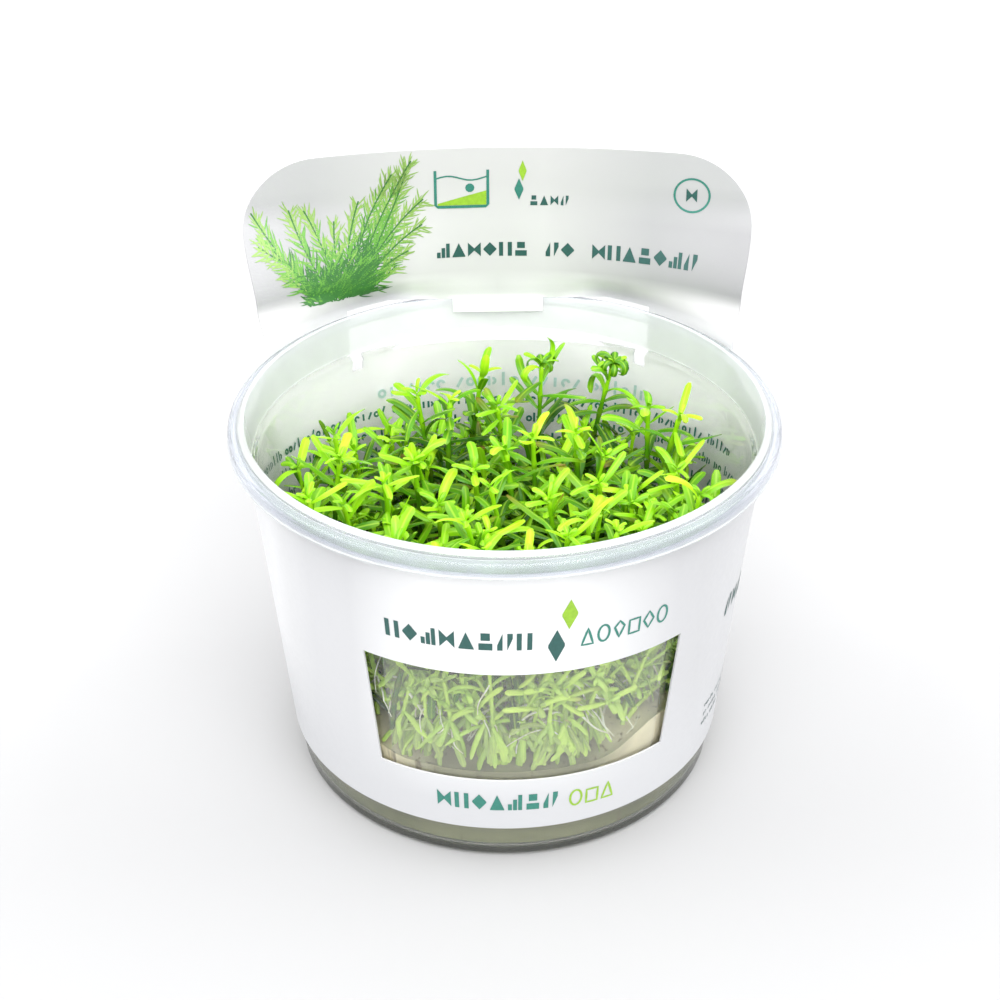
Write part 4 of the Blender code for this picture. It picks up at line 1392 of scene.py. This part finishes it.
def plan_filler_stems(rng, obstacles, order):
    """Younger shoots between the others, in a ring of the bed and an arc about its front."""
    count, inner, outer, arc, lowest, highest, most_lean = FILLER_TIERS[order - 1]
    spacing = WINDOW_INTERNODE if order == WINDOW_TIER else FILLER_INTERNODE
    fillers = []
    for index in range(count):
        distance = sqrt(inner**2 + (outer**2 - inner**2) * ((index + 0.5) / count)) * MM
        bearing = (index * GOLDEN_ANGLE / pi % 2 - 1) * arc - pi / 2
        for _ in range(FILLER_TRIES):
            x = distance * cos(bearing) + rng.uniform(-FILLER_SHIFT, FILLER_SHIFT) * MM
            y = distance * sin(bearing) + rng.uniform(-FILLER_SHIFT, FILLER_SHIFT) * MM
            aim = rng.uniform(0, 2 * pi)
            lean = Vector((cos(aim), sin(aim), 0)) * rng.uniform(1, most_lean) * MM
            top = min(rng.uniform(lowest, highest) * MM, bed_height(x, y) - 1 * MM)
            internode = rng.uniform(*spacing) * MM
            filler = Shoot((x, y, GEL_HEIGHT + GAP), top, lean, rng.uniform(0, 1.57), internode)
            hull = stem_hull(filler, FILLER_STEM_HULL)
            ends = (Vector((x, y, GEL_HEIGHT)), filler.point(filler.rise))
            fits = all(end.xy.length < wall_inside(end.z) - FILLER_WALL_MARGIN for end in ends)
            if fits and obstacles.free(*hull):
                obstacles.add(*hull)
                fillers.append(filler)
                break
    return fillers


def plan_more_leaves(rng, shoots, tiers, obstacles):
    """Pairs of leaves on the fillers, and between and below the solids' own pairs."""
    for filler_leaf, shoot_leaf in zip(FILLER_LEAVES, MORE_PAIRS):
        plans = [(tier, WINDOW_SLIM if i == WINDOW_TIER else SLIM, *filler_leaf) for i, tier in tiers]
        for group, slim, pair, rise, length in [*plans, (shoots, SLIM, *shoot_leaf)]:
            for shoot, side in itertools.product(group, (0, 2)):
                if shoot.node_height(pair) > 1.5 * MM:
                    stances = looser_stances(rng, side + pair % 2, rise, length)
                    place_leaf(shoot, pair, stances, obstacles, slim)


class Growth:
    """A joined mesh in the making: closed tubes, with a note of colour at each point."""

    def __init__(self, rng):
        self.rng = rng
        self.verts = []
        self.faces = []
        self.notes = []

    def tube(self, rings, notes):
        size = len(rings[0])
        first = len(self.verts)
        for point in itertools.chain(*rings):
            limit = wall_inside(min(point.z, STEP_HEIGHT)) - WALL_HUG
            if point.xy.length > limit:
                point.xy = point.xy.normalized() * limit
        self.verts += itertools.chain(*rings)
        self.notes += itertools.chain(*notes)
        for base in range(first, len(self.verts) - size, size):
            for i in range(size):
                j = (i + 1) % size
                self.faces.append((base + i, base + j, base + size + j, base + size + i))
        self.faces.append(tuple(range(first, first + size))[::-1])
        self.faces.append(tuple(range(len(self.verts) - size, len(self.verts))))

    def finish(self, name, material, replaced=()):
        mesh = mesh_from(name, self.verts, self.faces, radians(80))
        layer = mesh.attributes.new("notes", "FLOAT_COLOR", "POINT")
        layer.data.foreach_set("color", [*itertools.chain(*self.notes)])
        add_piece(name, mesh, material, replaced)


def grow_fine_leaf(growth, root, axes, rise, length, droop, curl, width, youth, rust=0.0):
    """A narrow blunt leaf with a shallow channel, arching from its root."""
    along, out, across = axes
    sway = growth.rng.uniform(-LEAF_SWAY, LEAF_SWAY)
    roll = growth.rng.uniform(-LEAF_ROLL, LEAF_ROLL)
    here = root.copy()
    rings, notes = [], []
    for i in range(LEAF_STATIONS):
        share = i / (LEAF_STATIONS - 1)
        place = share if i < LEAF_STATIONS - 1 else LEAF_END
        angle = rise + droop * (LEAF_BEND - 2 * share) + curl * share**1.5
        heading = around(around(out, across, sway * share), along, angle).normalized()
        wide = (across - heading * across.dot(heading)).normalized()
        wide = Matrix.Rotation(roll * share, 3, heading) @ wide
        normal = wide.cross(heading)
        half = width / 2 * (0.52 + 0.48 * smooth(place / 0.4))
        blunt = max(0.0, (place - LEAF_ROUNDING) / (1 - LEAF_ROUNDING))
        half *= sqrt(1 - blunt**2.4)
        core = LEAF_CORE / 2 * (1 - 0.35 * share) * (half / (width / 2)) ** 0.5
        channel = LEAF_CHANNEL * width * sin(pi * min(1.0, 0.1 + share))
        points = []
        for u, up in zip(LEAF_ACROSS, LEAF_UPWARD):
            lift = channel * (u * u - 0.5) + up * core * (1 - 0.55 * u * u)
            points.append(here + wide * half * u + normal * lift)
        rings.append(points)
        notes.append([(youth, abs(u), share, rust * share**3) for u in LEAF_ACROSS])
        here = here + heading * length / (LEAF_STATIONS - 1)
    growth.tube(rings, notes)


def grow_hanging_leaves(growth, shoot):
    """Leaves from the foot of a stem that hang down in the shrunk medium's pocket."""
    rng = growth.rng
    along = Vector((0, 0, 1))
    for _ in range(HANGING):
        root = shoot.point(rng.uniform(1.0, 5.0) * MM)
        if pocket_depth(root) < HANGING_SHARE * POCKET_DEPTH:
            return
        outward = Vector((root.x, root.y, 0)).normalized()
        out = Matrix.Rotation(rng.uniform(-1.3, 1.3), 3, "Z") @ outward
        rise = radians(rng.uniform(-80, -15))
        width = rng.uniform(0.9, 1.4) * MM
        length = rng.uniform(4.5, 9.0) * MM
        axes = (along, out, along.cross(out))
        grow_fine_leaf(growth, root, axes, rise, length, 0.5, 0.2, width, rng.uniform(0.5, 0.95))


def grow_stem(growth, shoot, radius, light):
    """A faintly ribbed stem, swollen and paler at each pair of leaves, older further down."""
    nodes = [shoot.node_height(pair) for pair in range(12)]
    turns = [2 * pi * k / 8 for k in range(8)]
    rings, notes = [], []
    steps = max(10, int(shoot.rise / STEM_STEP))
    for i in range(steps + 1):
        height = shoot.rise * i / steps
        _, side, front = shoot.frame(height)
        middle = shoot.point(height)
        near = min(abs(height - node) for node in nodes)
        swell = exp(-((near / NODE_SWELL) ** 2))
        thick = radius * (0.82 + 0.34 * swell) * (1 - 0.25 * smooth(height / shoot.rise))
        if i == steps:
            thick *= 0.4
        ways = [around(side, front, turn) * thick * (1 + STEM_RIB * cos(4 * turn)) for turn in turns]
        rings.append([middle + way for way in ways])
        # light adds painted light to the stem's green
        youth = STEM_YOUTH - 0.5 * smooth((shoot.rise - height) / STEM_AGEING) + 0.10 * swell + light
        notes.append([(youth, 0.5, 0.2, 0.30 * swell * (1 - youth) * 2)] * 8)
    growth.tube(rings, notes)


def grow_bud(growth, shoot, size):
    """The tip: two crossed pairs of small young leaves."""
    rng = growth.rng
    youth = STEM_YOUTH + rng.choice(BUD_GLOWS)
    along, side, front = shoot.frame(shoot.rise)
    for number, (rise, length, width) in enumerate(BUD_LEAVES):
        height = shoot.rise + (0.1 + 0.4 * number) * MM
        for turn in (0, 2):
            angle = (turn + 1 + number) * pi / 2 + rng.uniform(-0.35, 0.35)
            out = around(side, front, angle)
            slope = radians(rise + rng.uniform(-22, 18))
            span = length * size * rng.uniform(0.7, 1.2) * MM
            root = shoot.point(height) + out * 0.15 * MM
            axes = (along, out, along.cross(out))
            grow_fine_leaf(growth, root, axes, slope, span, 0.45, 0.0, width * MM, youth)


def grow_knot(growth, shoot, leaves):
    """Short leaves at the tip, rolled up tightly."""
    rng = growth.rng
    along, side, front = shoot.frame(shoot.rise)
    for number in range(leaves):
        out = around(side, front, number * GOLDEN_ANGLE)
        root = shoot.point(shoot.rise - (0.9 * number / leaves + 0.3) * MM)
        length = rng.uniform(5.5, 7.5) * MM
        rise, curl = radians(rng.uniform(55, 80)), rng.uniform(-4.6, -3.2)
        axes = (along, out, along.cross(out))
        grow_fine_leaf(growth, root, axes, rise, length, 0.5, curl, 1.25 * MM, 0.52)


def grow_shoot(growth, shoot, radius, size=1.0, curls=(), light=0.0, narrow=1.0):
    """A whole shoot. Curls are how far the leaves of its first pairs roll, side by side. Light is painted
    light, lifting the greens of its stem and leaves.
    """
    rng = growth.rng
    mood = rng.uniform(*MOOD) + light
    grow_stem(growth, shoot, radius, light)
    grow_bud(growth, shoot, size)
    for number, (pair, turn, rise, length, droop) in enumerate(shoot.leaves):
        axes = shoot.leaf_directions(pair, turn)
        root = shoot.point(shoot.node_height(pair)) + axes[1] * radius * 0.6
        youth = YOUTH_TOP - YOUTH_FALL * min(1.0, (pair / YOUTH_PAIRS) ** 0.8)
        youth += mood + rng.uniform(-0.14, 0.14)
        rust = rng.uniform(0.3, 0.9) if rng.random() < 0.05 + 0.03 * pair else 0.0
        curl = curls[number] if number < len(curls) else rng.uniform(-0.55, 0.35)
        width = narrow * LEAF_WIDTH * rng.uniform(0.70, 0.90) * min(1.0, 0.5 + length / (18 * MM))
        grow_fine_leaf(growth, root, axes, rise, length, droop, curl, width, youth, rust)


def grow_roots(growth, shoots, count, thinnest):
    """Thin pale roots from the lower nodes, arching down to the medium."""
    rng = growth.rng
    turns = [k * pi / 3 for k in range(6)]
    for _ in range(count):
        shoot = rng.choice(shoots)
        here = shoot.point(rng.uniform(1.5 * MM, min(ROOT_REACH, 0.8 * shoot.rise)))
        aim = rng.uniform(0, 2 * pi)
        heading = Vector((cos(aim), sin(aim), rng.uniform(-0.7, 0.25)))
        length = rng.uniform(4, 11) * MM
        radius = rng.uniform(thinnest, 2 * thinnest)
        rings = []
        for i in range(ROOT_STEPS):
            heading = (heading + Vector((0, 0, -0.10)) + noise.noise_vector(here * 300) * 0.28).normalized()
            side = heading.cross(Vector((0.3, 0.2, 1))).normalized()
            front = heading.cross(side)
            thick = radius * (1 - 0.6 * i / ROOT_STEPS)
            rings.append([here + around(side, front, turn) * thick for turn in turns])
            here = here + heading * length / ROOT_STEPS
            limit = wall_inside(here.z) - 0.5 * MM
            if here.xy.length > limit:
                here.xy = here.xy.normalized() * limit
            if here.z < GEL_HEIGHT - 0.6 * MM:
                break
        if len(rings) > 3:
            growth.tube(rings, [[(0.5, 0.5, 0.5, 0.0)] * 6] * len(rings))


def build_plants():
    rng = random.Random(SEED)
    obstacles = Obstacles()
    shoots = plan_stems(rng, obstacles)
    plan_leaves(rng, shoots, obstacles)
    rng = random.Random(EXTRA_SEED)
    noise.seed_set(EXTRA_SEED)
    tiers = [(order, plan_filler_stems(rng, obstacles, order)) for order in range(1, len(FILLER_TIERS) + 1)]
    plan_more_leaves(rng, shoots, tiers, obstacles)
    tissue = living("leaf_green")
    # The leaves behind the window carry painted haze
    pale = living("leaf_painted_haze", PAINTED_HAZE_SHARE)
    for number, shoot in enumerate(shoots, 1):
        growth = Growth(rng)
        grow_shoot(growth, shoot, 0.68 * MM, 1.0, CURLS.get(number, ()))
        grow_knot(growth, shoot, KNOTS.get(number, 0))
        growth.finish(f"plant_{number:02d}", tissue, [f"shoot_{number:02d}"])
    for number, tier in tiers:
        half = len(tier) // 2
        for part, group in (("a", tier[:half]), ("b", tier[half:])):
            growth = Growth(rng)
            for filler in group:
                if number == WINDOW_TIER:
                    # Painted light lifts the greens of the shoots behind the window
                    grow_shoot(growth, filler, 0.45 * MM, 0.8, (), WINDOW_PAINTED_LIGHT, WINDOW_NARROW)
                    grow_hanging_leaves(growth, filler)
                else:
                    grow_shoot(growth, filler, 0.55 * MM, 0.85)
            growth.finish(f"undergrowth_{number}{part}", pale if number == WINDOW_TIER else tissue)
    growth = Growth(rng)
    fillers = [filler for _, tier in tiers for filler in tier]
    grow_roots(growth, shoots + fillers, ROOTS, 0.09 * MM)
    grow_roots(growth, tiers[WINDOW_TIER - 1][1], WINDOW_ROOTS, 0.13 * MM)
    growth.finish("pale_roots", pale_root())


# Stage


def add_camera():
    data = bpy.data.cameras.new("camera")
    data.sensor_fit = "HORIZONTAL"
    data.sensor_width = 36
    data.lens = CAMERA_LENS
    data.clip_start = 0.01
    camera = put("camera", data)
    back = (CAMERA_PLACE - CAMERA_AIM).normalized()
    right = Vector((0, 0, 1)).cross(back).normalized()
    turn = Matrix((right, back.cross(right), back)).transposed() @ Matrix.Rotation(CAMERA_ROLL, 3, "Z")
    camera.matrix_world = Matrix.Translation(CAMERA_PLACE) @ turn.to_4x4()
    bpy.context.scene.camera = camera


def add_softbox(name, place, width, height, power):
    data = bpy.data.lights.new(name, "AREA")
    data.shape = "RECTANGLE"
    data.size = width
    data.size_y = height
    data.energy = power
    light = put(name, data)
    light.location = place
    light.rotation_euler = (LIT_PLACE - Vector(place)).to_track_quat("-Z", "Y").to_euler()


def build_stage():
    mesh = bpy.data.meshes.new("floor")
    half = FLOOR_SIZE / 2
    mesh.from_pydata([(half * x, half * y, 0) for x, y in CORNERS], [], [(0, 1, 2, 3)])
    mesh.materials.append(paper_floor())
    floor = put("floor", mesh)
    floor.location.z = -0.02 * MM
    floor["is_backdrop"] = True
    world = bpy.data.worlds.new("white")
    world.use_nodes = True
    sky = Nodes(world.node_tree, "Generated")
    background = sky.tree.nodes["Background"]
    sky.feed(background.inputs["Color"], sky.ramp(sky.axis("Z"), SKY_STOPS))
    background.inputs["Strength"].default_value = SKY_STRENGTH
    bpy.context.scene.world = world
    for softbox in SOFTBOXES:
        add_softbox(*softbox)
    add_camera()
    view = bpy.context.scene.view_settings
    view.view_transform = "Standard"
    view.look = "None"


def write_sizes():
    boxes = {"cad": CAD_BOX, "visual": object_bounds()}
    plain = {name: [list(corner) for corner in box] for name, box in boxes.items()}


build_cup()
build_gel()
build_sleeve()
print_card()
build_plants()
build_stage()
write_sizes()
